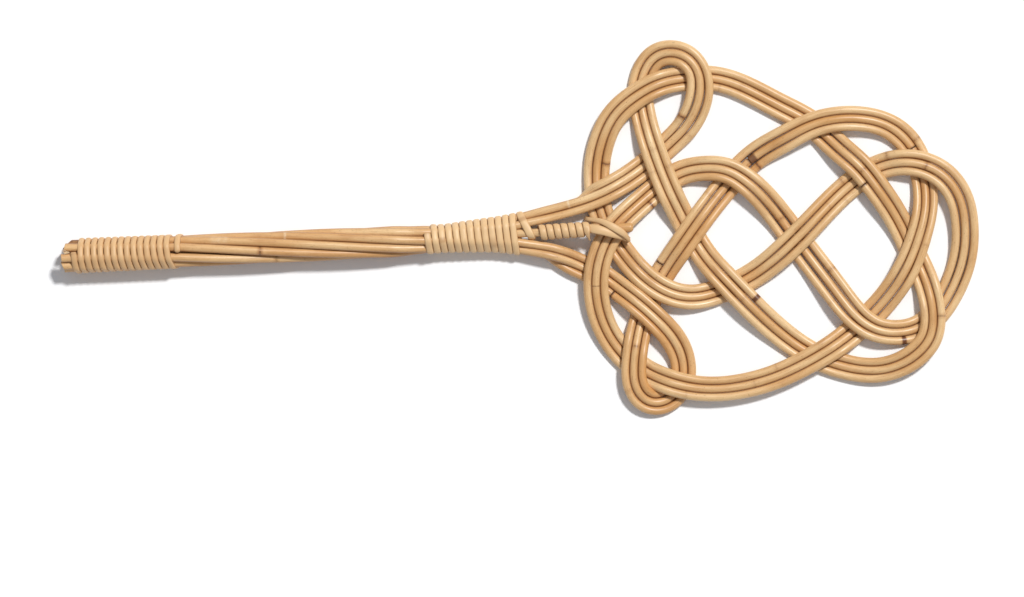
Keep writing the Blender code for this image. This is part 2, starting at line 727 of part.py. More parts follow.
def add_lashing(collection):
    """Strand that ties the spoke down on the knot's first crossing."""
    middle = np.array([*place_in_head(*tie_px), floor_level + level_lift])
    start, end = (np.array(place_in_head(*place)) for place in lashing_ends_px)
    across = np.array([start[1] - end[1], end[0] - start[0], 0.0]) / np.linalg.norm(end - start)
    reach = cane_diameter / 2 + strand_seat
    under_canes = floor_level + tie_lift - reach
    over_spoke = floor_level + tie_lift + level_lift * 2 + reach
    points, normals = route_strip(lashing_route_px_share, under_canes, over_spoke, middle, across)
    return add_strip(collection, "tie_lashing", points, normals, lashing_strand_width, strand_thickness)


def add_canes(collection):
    """The band's canes, in their separate lengths, with the core and the fillers."""
    band = Band()
    bundle = []
    centres = {name: line[:, :3] for name, line in band.lines.items()}
    apart = (centres["left"] - centres["centre"]) * tuck_care_share
    kept = thin_out([*centres.values(), apart], chord_error, longest_step)
    along = band.along[kept]
    for name, line in band.lines.items():
        upper = handle_line(name + "_high")
        lower = handle_line(name + "_low")[::-1]
        cuts = band.splice_stations(name)
        edges = [-1.0] + cuts + [band.length + 1.0]
        for number in range(len(edges) - 1):
            start, end = edges[number], edges[number + 1]
            inside = (along > start + cane_diameter) & (along < end - cane_diameter)
            points = line[kept][inside]
            if number > 0:
                points = np.vstack([cut_end(band.along, line, start, 1), points])
            else:
                points = np.vstack([upper, points])
            if number < len(edges) - 2:
                points = np.vstack([points, cut_end(band.along, line, end, -1)[::-1]])
            else:
                points = np.vstack([points, lower])
            bundle.append(points)
            colour = skin_colour if (name, number) in (("left", 2), ("right", 1)) else cane_colour
            add_tube(collection, f"{name}_cane_{number + 1}", points, cane_diameter, cane_round_count, colour)
    core = np.vstack([handle_line("core"), spoke_line()])
    add_tube(collection, "core_cane", core, cane_diameter, cane_round_count, cane_colour)
    bundle.append(core)
    for name in filler_end_shares:
        bundle.append(handle_line(name))
        add_tube(collection, name, bundle[-1], cane_diameter, cane_round_count, cane_colour)
    return Bundle([line for line in bundle if line[:, 0].min() < 0]), Bundle([core])


def cut_end(along, line, place, side):
    """First two points of a length of cane that starts at a splice and runs to one side of it."""
    places = [place + side * splice_gap / 2, place + side * cane_diameter / 2]
    return np.array([[np.interp(spot, along, column) for column in line.T] for spot in places])


def main():
    """Build every piece of the beater in one collection."""
    clear_scene()
    collection = bpy.data.collections.new("carpet_beater")
    bpy.context.scene.collection.children.link(collection)
    bundle, spoke = add_canes(collection)
    turns = int(grip_length / (grip_strand_width + strand_gap))
    grip = Winding("grip_binding", grip_strand_width, handle_length - grip_overhang, turns, grip_angles,
                   grip_slant_share, grip_bow, grip_last_gap)
    add_handle_winding(collection, bundle, grip)
    collar_start = collar_length + collar_neck_clearance - collar_strand_width / 2
    turns = int(collar_length / (collar_strand_width + strand_gap))
    collar = Winding("collar_binding", collar_strand_width, collar_start, turns, collar_angles,
                     collar_slant_share)
    add_handle_winding(collection, bundle, collar, spoke)
    add_spoke_binding(collection)
    add_lashing(collection)


main()
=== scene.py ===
"""Looks of a rattan carpet beater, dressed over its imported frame.

Three parallel canes are woven into a pretzel-shaped head. Both ends of the band run back into the
handle round a core cane, under a grip binding and a collar binding of split cane. The core cane
leaves the collar as a bound spoke and is lashed down on the knot's first crossing.

Metres, +Z up. The beater lies on its back at z = 0 with the handle towards -X.
"""

from __future__ import annotations

import logging
import math
from dataclasses import dataclass, field
from enum import Enum
from typing import ClassVar

import bmesh
import bpy
import numpy as np
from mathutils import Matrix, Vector

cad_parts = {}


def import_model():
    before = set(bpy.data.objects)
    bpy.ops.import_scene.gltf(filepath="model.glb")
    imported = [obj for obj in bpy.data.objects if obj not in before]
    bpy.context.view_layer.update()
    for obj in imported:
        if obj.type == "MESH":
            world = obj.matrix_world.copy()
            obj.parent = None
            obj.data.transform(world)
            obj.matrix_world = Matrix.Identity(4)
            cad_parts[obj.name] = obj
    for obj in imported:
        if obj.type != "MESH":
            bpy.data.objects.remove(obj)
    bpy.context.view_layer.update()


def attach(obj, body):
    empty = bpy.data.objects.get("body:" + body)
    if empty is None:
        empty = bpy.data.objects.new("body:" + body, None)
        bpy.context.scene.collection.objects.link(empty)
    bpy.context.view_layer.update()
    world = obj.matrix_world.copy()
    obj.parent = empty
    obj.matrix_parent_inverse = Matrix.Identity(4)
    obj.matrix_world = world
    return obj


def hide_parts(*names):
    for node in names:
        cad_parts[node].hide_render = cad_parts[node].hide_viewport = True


log = logging.getLogger("carpet_beater")

Pair = tuple[float, float]
Colour = tuple[float, float, float, float]

BODY = "root"

# Middle cane of the band, from the collar round the knot and back: column and row in the picture,
# then how far apart the three canes lie there, as a share of the cane pitch
BAND_ROUTE = [
    (545, 210.5, 1.0), (570, 204, 1.0), (600, 193.5, 1.0), (620, 183, 1.0), (640, 169.5, 1.0),
    (656, 156, 1.0), (671, 142, 1.01), (685.5, 127, 1.07), (696, 108, 1.12), (700, 90, 1.1),
    (697, 70, 1.0), (688, 58.5, 1.0), (671, 52.5, 1.0), (655, 57, 1.0), (645, 70, 1.0),
    (640.5, 88, 1.0), (642, 108, 1.0), (647, 130, 1.0), (656, 158, 1.03), (670, 193, 1.03),
    (690, 232, 1.03), (708, 260, 1.05), (726, 280, 1.09), (753, 308, 1.09), (780, 332.5, 1.05),
    (815, 356, 1.03), (850, 368, 1.01), (880, 370, 1.0), (901, 364, 1.0), (918, 353, 1.0),
    (929.5, 338, 1.0), (933, 320, 1.0), (931, 300, 1.0), (925.5, 280, 1.01), (915, 256, 1.02),
    (903, 230, 1.02), (890, 207, 1.05), (876, 187, 1.07), (860, 167, 1.09), (841, 150, 1.11),
    (812, 124, 1.07), (780, 106, 1.02), (750, 90.5, 1.02), (720, 79.5, 1.0), (690, 78, 1.0),
    (660, 83.5, 1.0), (635, 97, 1.0), (615, 115, 1.02), (603, 138, 1.03), (597, 165, 1.05),
    (597, 190, 1.0), (601, 213, 1.0), (612, 236, 1.0), (627, 258, 1.0), (643.5, 276, 1.0),
    (661.5, 289, 1.0), (680, 296, 1.0), (700, 296.5, 1.0), (720, 291, 1.0), (745, 280, 1.03),
    (765, 267, 1.05), (787, 248, 1.09), (810, 225, 1.07), (835, 199, 1.03), (860, 178, 1.03),
    (880, 167, 1.03), (900, 162.5, 1.05), (925, 165.5, 1.07), (945, 177, 1.09), (959, 197, 1.11),
    (965, 225, 1.11), (963, 258, 1.11), (950, 293, 1.09), (935, 315, 1.05), (918, 328, 1.01),
    (897, 332.5, 1.0), (875, 329, 1.01), (855, 315, 1.13), (837, 293, 1.2), (812, 260, 1.2),
    (790, 231, 1.17), (770, 205, 1.13), (748, 183, 1.07), (725, 170, 1.01), (702, 168.5, 1.0),
    (681, 173, 1.0), (661, 185.5, 1.0), (642, 201.5, 1.01), (624.5, 217.5, 1.03), (611, 233, 1.01),
    (601.5, 252, 1.0), (596.5, 272, 1.0), (596, 292, 1.0), (600, 314, 1.0), (610, 337, 1.01),
    (627, 358, 1.05), (647, 372.5, 1.03), (672, 383, 1.03), (700, 388.5, 1.0), (740, 386.5, 1.0),
    (775, 377, 1.0), (810, 360.5, 1.0), (842, 340.5, 1.03), (870, 316.5, 1.07), (893, 290, 1.07),
    (908, 265, 1.07), (919, 236, 1.0), (925.5, 205, 1.0), (924, 180, 1.0), (917, 157, 1.01),
    (902, 135.5, 1.03), (885, 124.5, 1.0), (862, 119, 1.0), (838, 119, 1.0), (812, 125, 1.01),
    (785, 138.5, 1.09), (757, 155, 1.11), (733, 178, 1.09), (707, 210, 1.05), (682, 245, 1.03),
    (662, 275, 1.01), (647, 305, 1.0), (638, 335, 1.0), (634, 363, 1.0), (636, 387, 1.0),
    (646, 400, 1.0), (659, 402.5, 1.0), (672, 396.5, 1.0), (682, 382, 1.0), (683, 362, 1.01),
    (674.5, 341, 1.05), (658.5, 322, 1.01), (638, 303.5, 1.0), (616, 286.5, 1.0), (600, 275.5, 1.0),
    (583, 267.5, 1.0), (565, 260, 1.0), (545, 254.5, 1.0),
]

# Level of the band at each crossing that it meets along its route: 0 passes under and 1 over
WEAVE = "10101101010100100101010101011011010101001010"


class Side(Enum):
    """The three canes of the band, seen in its direction of travel."""

    LEFT = 1.0
    CENTRE = 0.0
    RIGHT = -1.0

    @property
    def label(self) -> str:
        """Name of the cane in the names of its pieces."""
        return self.name.lower()


class Wood(Enum):
    """The kinds of rattan that the beater is made of."""

    CANE = "natural_cane"
    SKIN = "skin_cane"
    STRAND = "split_strand"


class Section(Enum):
    """Cross-sections of the pieces: a round cane, a flat-backed split strand, a fuller strand."""

    ROUND = "round"
    SPLIT = "split"
    FULL = "full"

    def outline(self, sides: int) -> list[Pair]:
        """Points round the section, as shares of its half width and half height.

        A power below 1 squares off that part of the round.

        Args:
            sides: how many points go round.

        Returns:
            Shares across and outwards: one more pair than sides, the last on the first.
        """
        points = []
        for index in range(sides + 1):
            turn = 2 * math.pi * index / sides
            across, out = math.cos(turn), math.sin(turn)
            if self is Section.SPLIT:
                across = math.copysign(abs(across) ** 0.78, across)
                out = -0.45 + (1.45 * out ** 0.85 if out > 0 else -0.55 * abs(out) ** 0.4)
            if self is Section.FULL:
                across = math.copysign(abs(across) ** 0.85, across)
                out = math.copysign(abs(out) ** 0.9, out)
            points.append((across, out))
        return points


@dataclass(frozen=True)
class Picture:
    """The picture that the route was drawn on: places, and metres for each column and row."""

    neck: Pair = (520.0, 234.2)
    tie: Pair = (611.0, 231.0)
    centre_row: float = 227.75
    size: tuple[int, int] = (1024, 597)
    across: float = 0.3756 / 458.0
    down: float = 0.3055 / 372.5

    def place(self, column: float, row: float) -> np.ndarray:
        """Plan place in metres of a column and row of the picture."""
        return np.array([self.column_x(column), (self.centre_row - row) * self.down])

    def column_x(self, column: float) -> float:
        """Distance from the neck of a column of the picture, in metres."""
        return (column - self.neck[0]) * self.across


@dataclass(frozen=True)
class Sizes:
    """Driving sizes that the pieces share, in metres."""

    handle_length: float = 0.3756
    handle_bend: float = 0.0016
    handle_tilt: float = math.radians(2.55)
    twist_length: float = 0.6349206
    grip_twist_length: float = 1.3636364
    cane: float = 0.0066
    cane_gap: float = 0.0003
    fullness: float = 0.0001
    widest_cane: float = 0.00702
    crossing_gap: float = 0.0006
    strand_thickness: float = 0.0014
    binding_gap: float = 0.0004
    splice_gap: float = 0.0006
    lift_inner: float = 0.030
    lift_outer: float = 0.058
    emerge_start: float = 0.031
    emerge_length: float = 0.022
    hold_share: float = 0.06

    @property
    def pitch(self) -> float:
        """Distance between neighbouring canes."""
        return self.cane + self.cane_gap

    @property
    def lift(self) -> float:
        """Rise from a cane that passes under to one that passes over."""
        return self.cane + self.crossing_gap

    @property
    def tie_lift(self) -> float:
        """How far a strand underneath holds the canes up."""
        return self.strand_thickness + 2 * self.binding_gap

    @property
    def floor_level(self) -> float:
        """Height of the centre of a cane that lies on the floor."""
        return self.cane / 2


PICTURE = Picture()
SIZES = Sizes()


def ease(value: np.ndarray | float) -> np.ndarray | float:
    """Ease from 0 to 1, level at both ends."""
    value = np.clip(value, 0.0, 1.0)
    return value * value * (3 - 2 * value)


def running_length(points: np.ndarray) -> np.ndarray:
    """Running length of a line of points, by their places alone."""
    steps = np.linalg.norm(np.diff(points[:, :3], axis=0), axis=1)
    return np.concatenate([[0.0], np.cumsum(steps)])


def unit_rows(rows: np.ndarray) -> np.ndarray:
    """Rows scaled to a length of 1."""
    return rows / np.linalg.norm(rows, axis=1)[:, None]


def read_table(knots: np.ndarray, rows: np.ndarray, places: np.ndarray) -> np.ndarray:
    """Rows of a table at places between its knots."""
    return np.column_stack([np.interp(places, knots, column) for column in rows.T])


def read_line(points: np.ndarray, places: np.ndarray) -> np.ndarray:
    """Points of a line at the given running lengths."""
    return read_table(running_length(points), points, places)


def soften(points: np.ndarray, step: float, reach: float) -> np.ndarray:
    """Resample a line evenly and round its corners.

    Args:
        points: the line's points.
        step: distance between the new points.
        reach: how far along the line the rounding reaches.

    Returns:
        The even line, with its two ends where they were.
    """
    length = running_length(points)[-1]
    count = max(int(length / step), 4)
    even = read_line(points, np.linspace(0.0, length, count))
    width = max(int(reach / step), 1)
    weights = np.exp(-0.5 * (np.arange(-width, width + 1) / (width / 2)) ** 2)
    weights /= weights.sum()
    before = 2 * even[0] - even[1:width + 1][::-1]
    after = 2 * even[-1] - even[-width - 1:-1][::-1]
    padded = np.vstack([before, even, after])
    return np.column_stack([np.convolve(column, weights, "valid") for column in padded.T])


def extend(points: np.ndarray, length: float) -> np.ndarray:
    """Point that carries a line straight on beyond its last point."""
    step = points[-1] - points[-2]
    return points[-1] + step / np.linalg.norm(step) * length


def set_out(name: str, data: bpy.types.ID) -> bpy.types.Object:
    """Put new data in the scene, at the origin."""
    item = bpy.data.objects.new(name, data)
    bpy.context.scene.collection.objects.link(item)
    return item


def set_out_mesh(name: str, bm: bmesh.types.BMesh) -> bpy.types.Object:
    """Turn a finished bmesh into a piece in the scene."""
    mesh = bpy.data.meshes.new(name)
    bm.to_mesh(mesh)
    bm.free()
    return set_out(name, mesh)


class NaturalSpline:
    """Natural cubic spline through points at given knots."""

    def __init__(self, points: np.ndarray, knots: np.ndarray) -> None:
        """Solve for the bends at the knots."""
        self.points, self.knots = points, knots
        self.spans = np.diff(knots)
        slopes = np.diff(points, axis=0) / self.spans[:, None]
        count = len(knots)
        matrix = np.eye(count)
        right_side = np.zeros_like(points)
        for index in range(1, count - 1):
            matrix[index, index - 1] = self.spans[index - 1]
            matrix[index, index] = 2 * (self.spans[index - 1] + self.spans[index])
            matrix[index, index + 1] = self.spans[index]
            right_side[index] = 6 * (slopes[index] - slopes[index - 1])
        self.bends = np.linalg.solve(matrix, right_side)

    def read(self, places: np.ndarray) -> np.ndarray:
        """Points of the spline at the given places."""
        knots, bends, points = self.knots, self.bends, self.points
        cell = np.clip(np.searchsorted(knots, places, side="right") - 1, 0, len(knots) - 2)
        span = self.spans[cell][:, None]
        before = (knots[cell + 1] - places)[:, None]
        after = (places - knots[cell])[:, None]
        return (
            bends[cell] * before ** 3 / (6 * span)
            + bends[cell + 1] * after ** 3 / (6 * span)
            + (points[cell] / span - bends[cell] * span / 6) * before
            + (points[cell + 1] / span - bends[cell + 1] * span / 6) * after
        )


def strand_rise(plan: np.ndarray) -> np.ndarray:
    """How far the strands underneath hold up whatever lies near the neck and the tie."""
    neck, tie = PICTURE.place(*PICTURE.neck), PICTURE.place(*PICTURE.tie)
    run = tie - neck
    share = np.clip((plan - neck) @ run / (run @ run), 0.0, 1.0)
    away = np.linalg.norm(plan - neck - share[..., None] * run, axis=-1)
    return SIZES.tie_lift * ease((SIZES.lift_outer - away) / (SIZES.lift_outer - SIZES.lift_inner))


@dataclass
class Band:
    """The band of three canes in the head: its plan, its crossings and the height of each cane.

    Each line holds places, then the cane's half width in plan and its half height.
    """

    trace_step: float = 0.0015
    least_apart: float = 8 * SIZES.pitch
    parallel: float = 1e-18
    along: np.ndarray = field(init=False)
    lines: dict[Side, np.ndarray] = field(init=False)
    crossings: list[tuple[float, float, int]] = field(init=False)

    def __post_init__(self) -> None:
        """Trace the route, then work out where each cane goes under and over."""
        route = np.array(BAND_ROUTE, dtype=float)
        plan = np.array([PICTURE.place(column, row) for column, row in route[:, :2]])
        knots = running_length(plan)
        self.length = float(knots[-1])
        self.along = np.linspace(0.0, self.length, int(self.length / self.trace_step))
        traced = NaturalSpline(np.column_stack([plan, route[:, 2]]), knots).read(self.along)
        tangent = unit_rows(np.gradient(traced[:, :2], axis=0))
        normal = np.column_stack([-tangent[:, 1], tangent[:, 0]])
        offset = normal * (traced[:, 2] * SIZES.pitch)[:, None]
        plans = {side: traced[:, :2] + offset * side.value for side in Side}
        middle = plans[Side.CENTRE]
        pairs = sorted(self.meetings(middle, middle))
        self.crossings = [(here, there, int(level)) for (here, there), level in zip(pairs, WEAVE)]
        levels = {side: self.levels(plans, side) for side in Side}
        heights = {side: self.heights(levels[side]) for side in Side}
        emerged = self.along - SIZES.emerge_start
        tuck_in = 1 - ease(emerged / SIZES.emerge_length)
        tuck_out = np.clip((heights[Side.CENTRE] - SIZES.floor_level) / SIZES.lift, 0.0, 1.0)
        tuck = np.where(self.along < self.length / 2, tuck_in, tuck_out)
        last_crossing = levels[Side.CENTRE][-1][0]
        tuck[(self.along < last_crossing) & (emerged > SIZES.emerge_length)] = 0.0
        plans[Side.LEFT] = middle + offset * np.sqrt(1 - tuck ** 2)[:, None]
        below = heights[Side.CENTRE] - SIZES.lift * tuck
        heights[Side.LEFT] = np.where(tuck > 0, below, heights[Side.LEFT])
        wide = np.clip(traced[:, 2] * SIZES.pitch - SIZES.fullness,
                       SIZES.cane + SIZES.fullness, SIZES.widest_cane)
        high = np.full(len(wide), SIZES.cane)
        self.lines = {side: np.column_stack([plans[side], heights[side] + strand_rise(plans[side]),
                                             wide / 2, high / 2]) for side in Side}

    def meetings(self, first: np.ndarray, second: np.ndarray) -> list[Pair]:
        """Places along two traced lines where they cross in plan.

        Args:
            first: plan points of one line.
            second: plan points of the other, or the same one.

        Returns:
            Pairs of running lengths, one on each line.
        """
        start_a, step_a = first[:-1], np.diff(first, axis=0)
        start_b, step_b = second[:-1], np.diff(second, axis=0)
        between = start_b[None, :, :] - start_a[:, None, :]
        cross = step_a[:, None, 0] * step_b[None, :, 1] - step_a[:, None, 1] * step_b[None, :, 0]
        cross = np.where(np.abs(cross) < self.parallel, np.inf, cross)
        on_a = (between[..., 0] * step_b[None, :, 1] - between[..., 1] * step_b[None, :, 0]) / cross
        on_b = (between[..., 0] * step_a[:, None, 1] - between[..., 1] * step_a[:, None, 0]) / cross
        rows, columns = np.nonzero((on_a >= 0) & (on_a < 1) & (on_b >= 0) & (on_b < 1))
        apart = np.abs(rows - columns) * self.trace_step > self.least_apart
        unit = self.along[1] - self.along[0]
        return [((row + on_a[row, column]) * unit, (column + on_b[row, column]) * unit)
                for row, column in zip(rows[apart], columns[apart])]

    def levels(self, plans: dict[Side, np.ndarray], side: Side) -> list[tuple[float, int]]:
        """Every place where one cane crosses any cane of the band, with its level there.

        Args:
            plans: plan line of each cane.
            side: the cane.

        Returns:
            Running lengths and levels, in travel order.
        """
        found = []
        for other in Side:
            for here, there in self.meetings(plans[side], plans[other]):
                nearest = min(self.crossings,
                              key=lambda item: abs(item[0] - here) + abs(item[1] - there))
                found.append((here, nearest[2]))
        return sorted(found)

    def heights(self, levels: list[tuple[float, int]]) -> np.ndarray:
        """Height of one cane along the band, easing between its levels at the crossings.

        Args:
            levels: running lengths and levels of its crossings.

        Returns:
            Height of its centre at each traced place.
        """
        places = [0.0] + [place for place, _ in levels] + [self.length]
        values = [1.0] + [level for _, level in levels] + [1.0]
        height = np.full(len(self.along), values[0])
        for index in range(len(places) - 1):
            start, end = places[index], places[index + 1]
            inside = (self.along >= start) & (self.along <= end)
            hold = (end - start) * SIZES.hold_share
            room = max(end - start - 2 * hold, self.trace_step)
            share = (self.along[inside] - start - hold) / room
            height[inside] = values[index] + (values[index + 1] - values[index]) * ease(share)
        return SIZES.floor_level + SIZES.lift * height

    def crossing_place(self, number: int) -> float:
        """Running length of the band's middle cane at a numbered crossing."""
        return self.crossings[number - 1][0]

    def point(self, side: Side, place: float) -> np.ndarray:
        """Place of one cane at a running length of the band."""
        return read_table(self.along, self.lines[side][:, :3], np.array([place]))[0]


@dataclass
class HandleBundle:
    """Where each cane lies in the handle: a slowly twisting ring that opens under the collar."""

    ring_order: tuple[str, ...] = ("right_low", "centre_low", "left_low", "filler_b", "filler_a",
                                   "left_high", "centre_high", "right_high")
    filler_end_shares: dict[str, float] = field(
        default_factory=lambda: {"filler_a": 0.28, "filler_b": 0.225})
    ring_of_seven_share: float = 0.225
    spread_start_share: float = 0.165
    spread_middle_share: float = 0.048
    twist_start_share: float = 0.092
    neck_share: float = 0.005
    grip_end_share: float = 0.742
    bend_shares: Pair = (0.05, 0.30)
    swell_shares: Pair = (0.03, 0.24)
    swell: float = 0.05
    slack_shares: tuple[Pair, ...] = (
        (0.30, 0.0), (0.40, 0.02), (0.742, 0.02), (0.80, 0.012), (0.94, 0.012), (1.0, 0.035))
    butt_shares: dict[str, float] = field(default_factory=lambda: {
        "right_low": 0.0095, "centre_low": 0.012, "left_low": 0.0065, "filler_b": 0.0,
        "filler_a": 0.002, "left_high": 0.006, "centre_high": 0.006, "right_high": 0.004,
        "core": 0.012})
    lowest_shares: tuple[float, float, float] = (0.91, 0.9, 1.0)
    line_points: int = 190
    # Places of the canes under the collar, in cane pitches: half way, then at the neck
    spreads: dict[str, tuple[Pair, Pair]] = field(default_factory=lambda: {
        "centre_high": ((-1.58, 0.0), (-1.94, -0.05)),
        "right_high": ((-0.86, 0.76), (-1.09, 0.5)),
        "core": ((-0.08, 0.0), (-0.08, 0.46)),
        "right_low": ((0.66, 0.76), (0.95, 0.5)),
        "centre_low": ((1.38, 0.0), (1.80, -0.05)),
        "left_high": ((-0.98, -0.86), (-1.26, -0.87)),
        "left_low": ((0.78, -0.86), (1.12, -0.87))})

    def axis(self, share: float) -> Pair:
        """Plan place of the handle's axis, by share of its length from the neck."""
        along = SIZES.handle_length * share
        start, end = self.bend_shares
        bend = SIZES.handle_bend * float(ease((share - start) / (end - start)))
        neck = float(PICTURE.place(*PICTURE.neck)[1])
        return -along, neck - along * math.tan(SIZES.handle_tilt) - bend

    def thickness(self, share: float) -> float:
        """Diameter of the canes in the handle."""
        start, end = self.swell_shares
        return SIZES.cane * (1 + self.swell * float(ease((share - start) / (end - start))))

    def ring_pitch(self, share: float) -> float:
        """Distance between neighbouring canes in the handle."""
        return self.thickness(share) + SIZES.cane_gap

    def even_step(self, share: float) -> float:
        """Angle between neighbours in the ring: eight canes at the butt, seven, then six."""
        opening, closing = self.filler_end_shares["filler_a"], self.filler_end_shares["filler_b"]
        first = ease((opening - share) / (opening - self.ring_of_seven_share))
        second = ease((closing - share) / (closing - self.spread_start_share))
        eight, seven, six = (2 * math.pi / count for count in (8, 7, 6))
        return float(eight + (seven - eight) * first + (six - seven) * second)

    def ring_radius(self, share: float) -> float:
        """Radius of the ring of canes round the core."""
        tight = self.ring_pitch(share) / (2 * math.sin(self.even_step(share) / 2))
        return tight * (1 + float(np.interp(share, *zip(*self.slack_shares))))

    def ring_twist(self, share: float) -> float:
        """Angle that the ring has turned through from the collar to a place along the handle."""
        shaft = max(min(share, self.grip_end_share) - self.twist_start_share, 0.0)
        grip = max(share - self.grip_end_share, 0.0)
        turned = shaft / SIZES.twist_length + grip / SIZES.grip_twist_length
        return 2 * math.pi * SIZES.handle_length * turned

    def ring_place(self, name: str, share: float) -> Pair:
        """Offset of a cane from the handle's axis, towards -Y and towards +Z.

        Args:
            name: the cane's place in the ring, or the core.
            share: place along the handle.

        Returns:
            The two offsets, in metres.
        """
        if name == "core":
            return 0.0, 0.0
        slot, count = self.ring_order.index(name), len(self.ring_order)
        radius = self.ring_radius(share)
        step = 2 * math.asin(self.ring_pitch(share) / (2 * radius))
        turns = slot if name.endswith("low") or name == "filler_b" else slot - count
        angle = math.pi / 6 - self.ring_twist(share) + turns * step
        if name == "filler_b":
            angle += count * (self.even_step(share) - step)
        return radius * math.sin(angle), radius * math.cos(angle)

    def axis_height(self, share: float) -> float:
        """Height of the handle's axis: the bindings just touch the floor."""
        drop = self.ring_radius(share)
        if share < self.spread_start_share:
            places = (self.neck_share, self.spread_middle_share, self.spread_start_share)
            drop = self.ring_pitch(share) * float(np.interp(share, places, self.lowest_shares))
        return drop + self.thickness(share) / 2 + SIZES.binding_gap + SIZES.strand_thickness

    def point(self, name: str, share: float) -> np.ndarray:
        """Centre of a named cane at a place along the handle, with its half width and half height.

        Args:
            name: the cane's place in the ring, or the core.
            share: place along the handle.

        Returns:
            Five numbers: the place, half width and half height.
        """
        across, up = self.ring_place(name, max(share, self.spread_start_share))
        if share < self.spread_start_share:
            middle, neck = np.array(self.spreads[name]) * self.ring_pitch(share)
            here, there = np.array([across, up]), middle
            start, end = self.spread_start_share, self.spread_middle_share
            if share <= end:
                here, there, start, end = middle, neck, end, self.neck_share
            blend = (start - share) / (start - end)
            across, up = here * (1 - blend) + there * blend
        x, y = self.axis(share)
        half = (self.thickness(share) + SIZES.fullness) / 2
        return np.array([x, y - across, self.axis_height(share) + up, half, half])

    def line(self, name: str) -> np.ndarray:
        """Centre line of one cane in the handle, from the butt to the neck or to its end."""
        end = self.filler_end_shares.get(name, self.neck_share)
        shares = np.linspace(1 - self.butt_shares[name], end, self.line_points)
        return np.array([self.point(name, share) for share in shares])


@dataclass
class Bundle:
    """Centre lines of the canes near the handle, for the windings to lie on."""

    lines: list[np.ndarray]
    reach: float = 0.045
    settle_rounds: int = 3
    tail_slant: float = 0.5

    def __post_init__(self) -> None:
        """Keep the stretches behind the reach, in order along the handle."""
        near = [line[line[:, 0] < self.reach] for line in self.lines]
        self.lines = [line[np.argsort(line[:, 0])] for line in near if len(line) > 1]

    def outermost(self, x: float, outward: np.ndarray, margin: float) -> tuple[np.ndarray, float]:
        """Cane that stands out furthest in one cross-section.

        Args:
            x: place along the handle.
            outward: direction to look in.
            margin: how far beyond its end a cane still counts.

        Returns:
            The centre of the cane there, and how far out its surface reaches.
        """
        furthest, centre = -math.inf, np.zeros(3)
        for line in self.lines:
            if line[0, 0] - margin <= x <= line[-1, 0] + margin:
                y, z, half = (float(np.interp(x, line[:, 0], line[:, column]))
                              for column in (1, 2, 4))
                reach = y * outward[1] + z * outward[2] + half
                if reach > furthest:
                    furthest, centre = reach, np.array([x, y, z])
        return centre, furthest

    def seat(self, x: float, angle: float, width: float,
             rise: float) -> tuple[np.ndarray, np.ndarray]:
        """Point and outward direction of a strand drawn tight round the canes.

        Args:
            x: place along the handle.
            angle: place round it, from +Y over +Z.
            width: width of the strand.
            rise: height of the strand's middle over the canes' surface.

        Returns:
            The strand's centre, and the direction that its domed side faces.
        """
        outward = np.array([0.0, math.cos(angle), math.sin(angle)])
        sections = [self.outermost(place, outward, width / 2)
                    for place in (x - width / 2, x, x + width / 2)]
        before, here, after = (reach for _, reach in sections)
        slope = (after - before) / width
        out = max((before + after) / 2, here) + rise * math.hypot(1.0, slope)
        centre = sections[1][0]
        normal = outward - np.array([slope, 0.0, 0.0])
        return centre + outward * (out - float(centre @ outward)), normal / np.linalg.norm(normal)


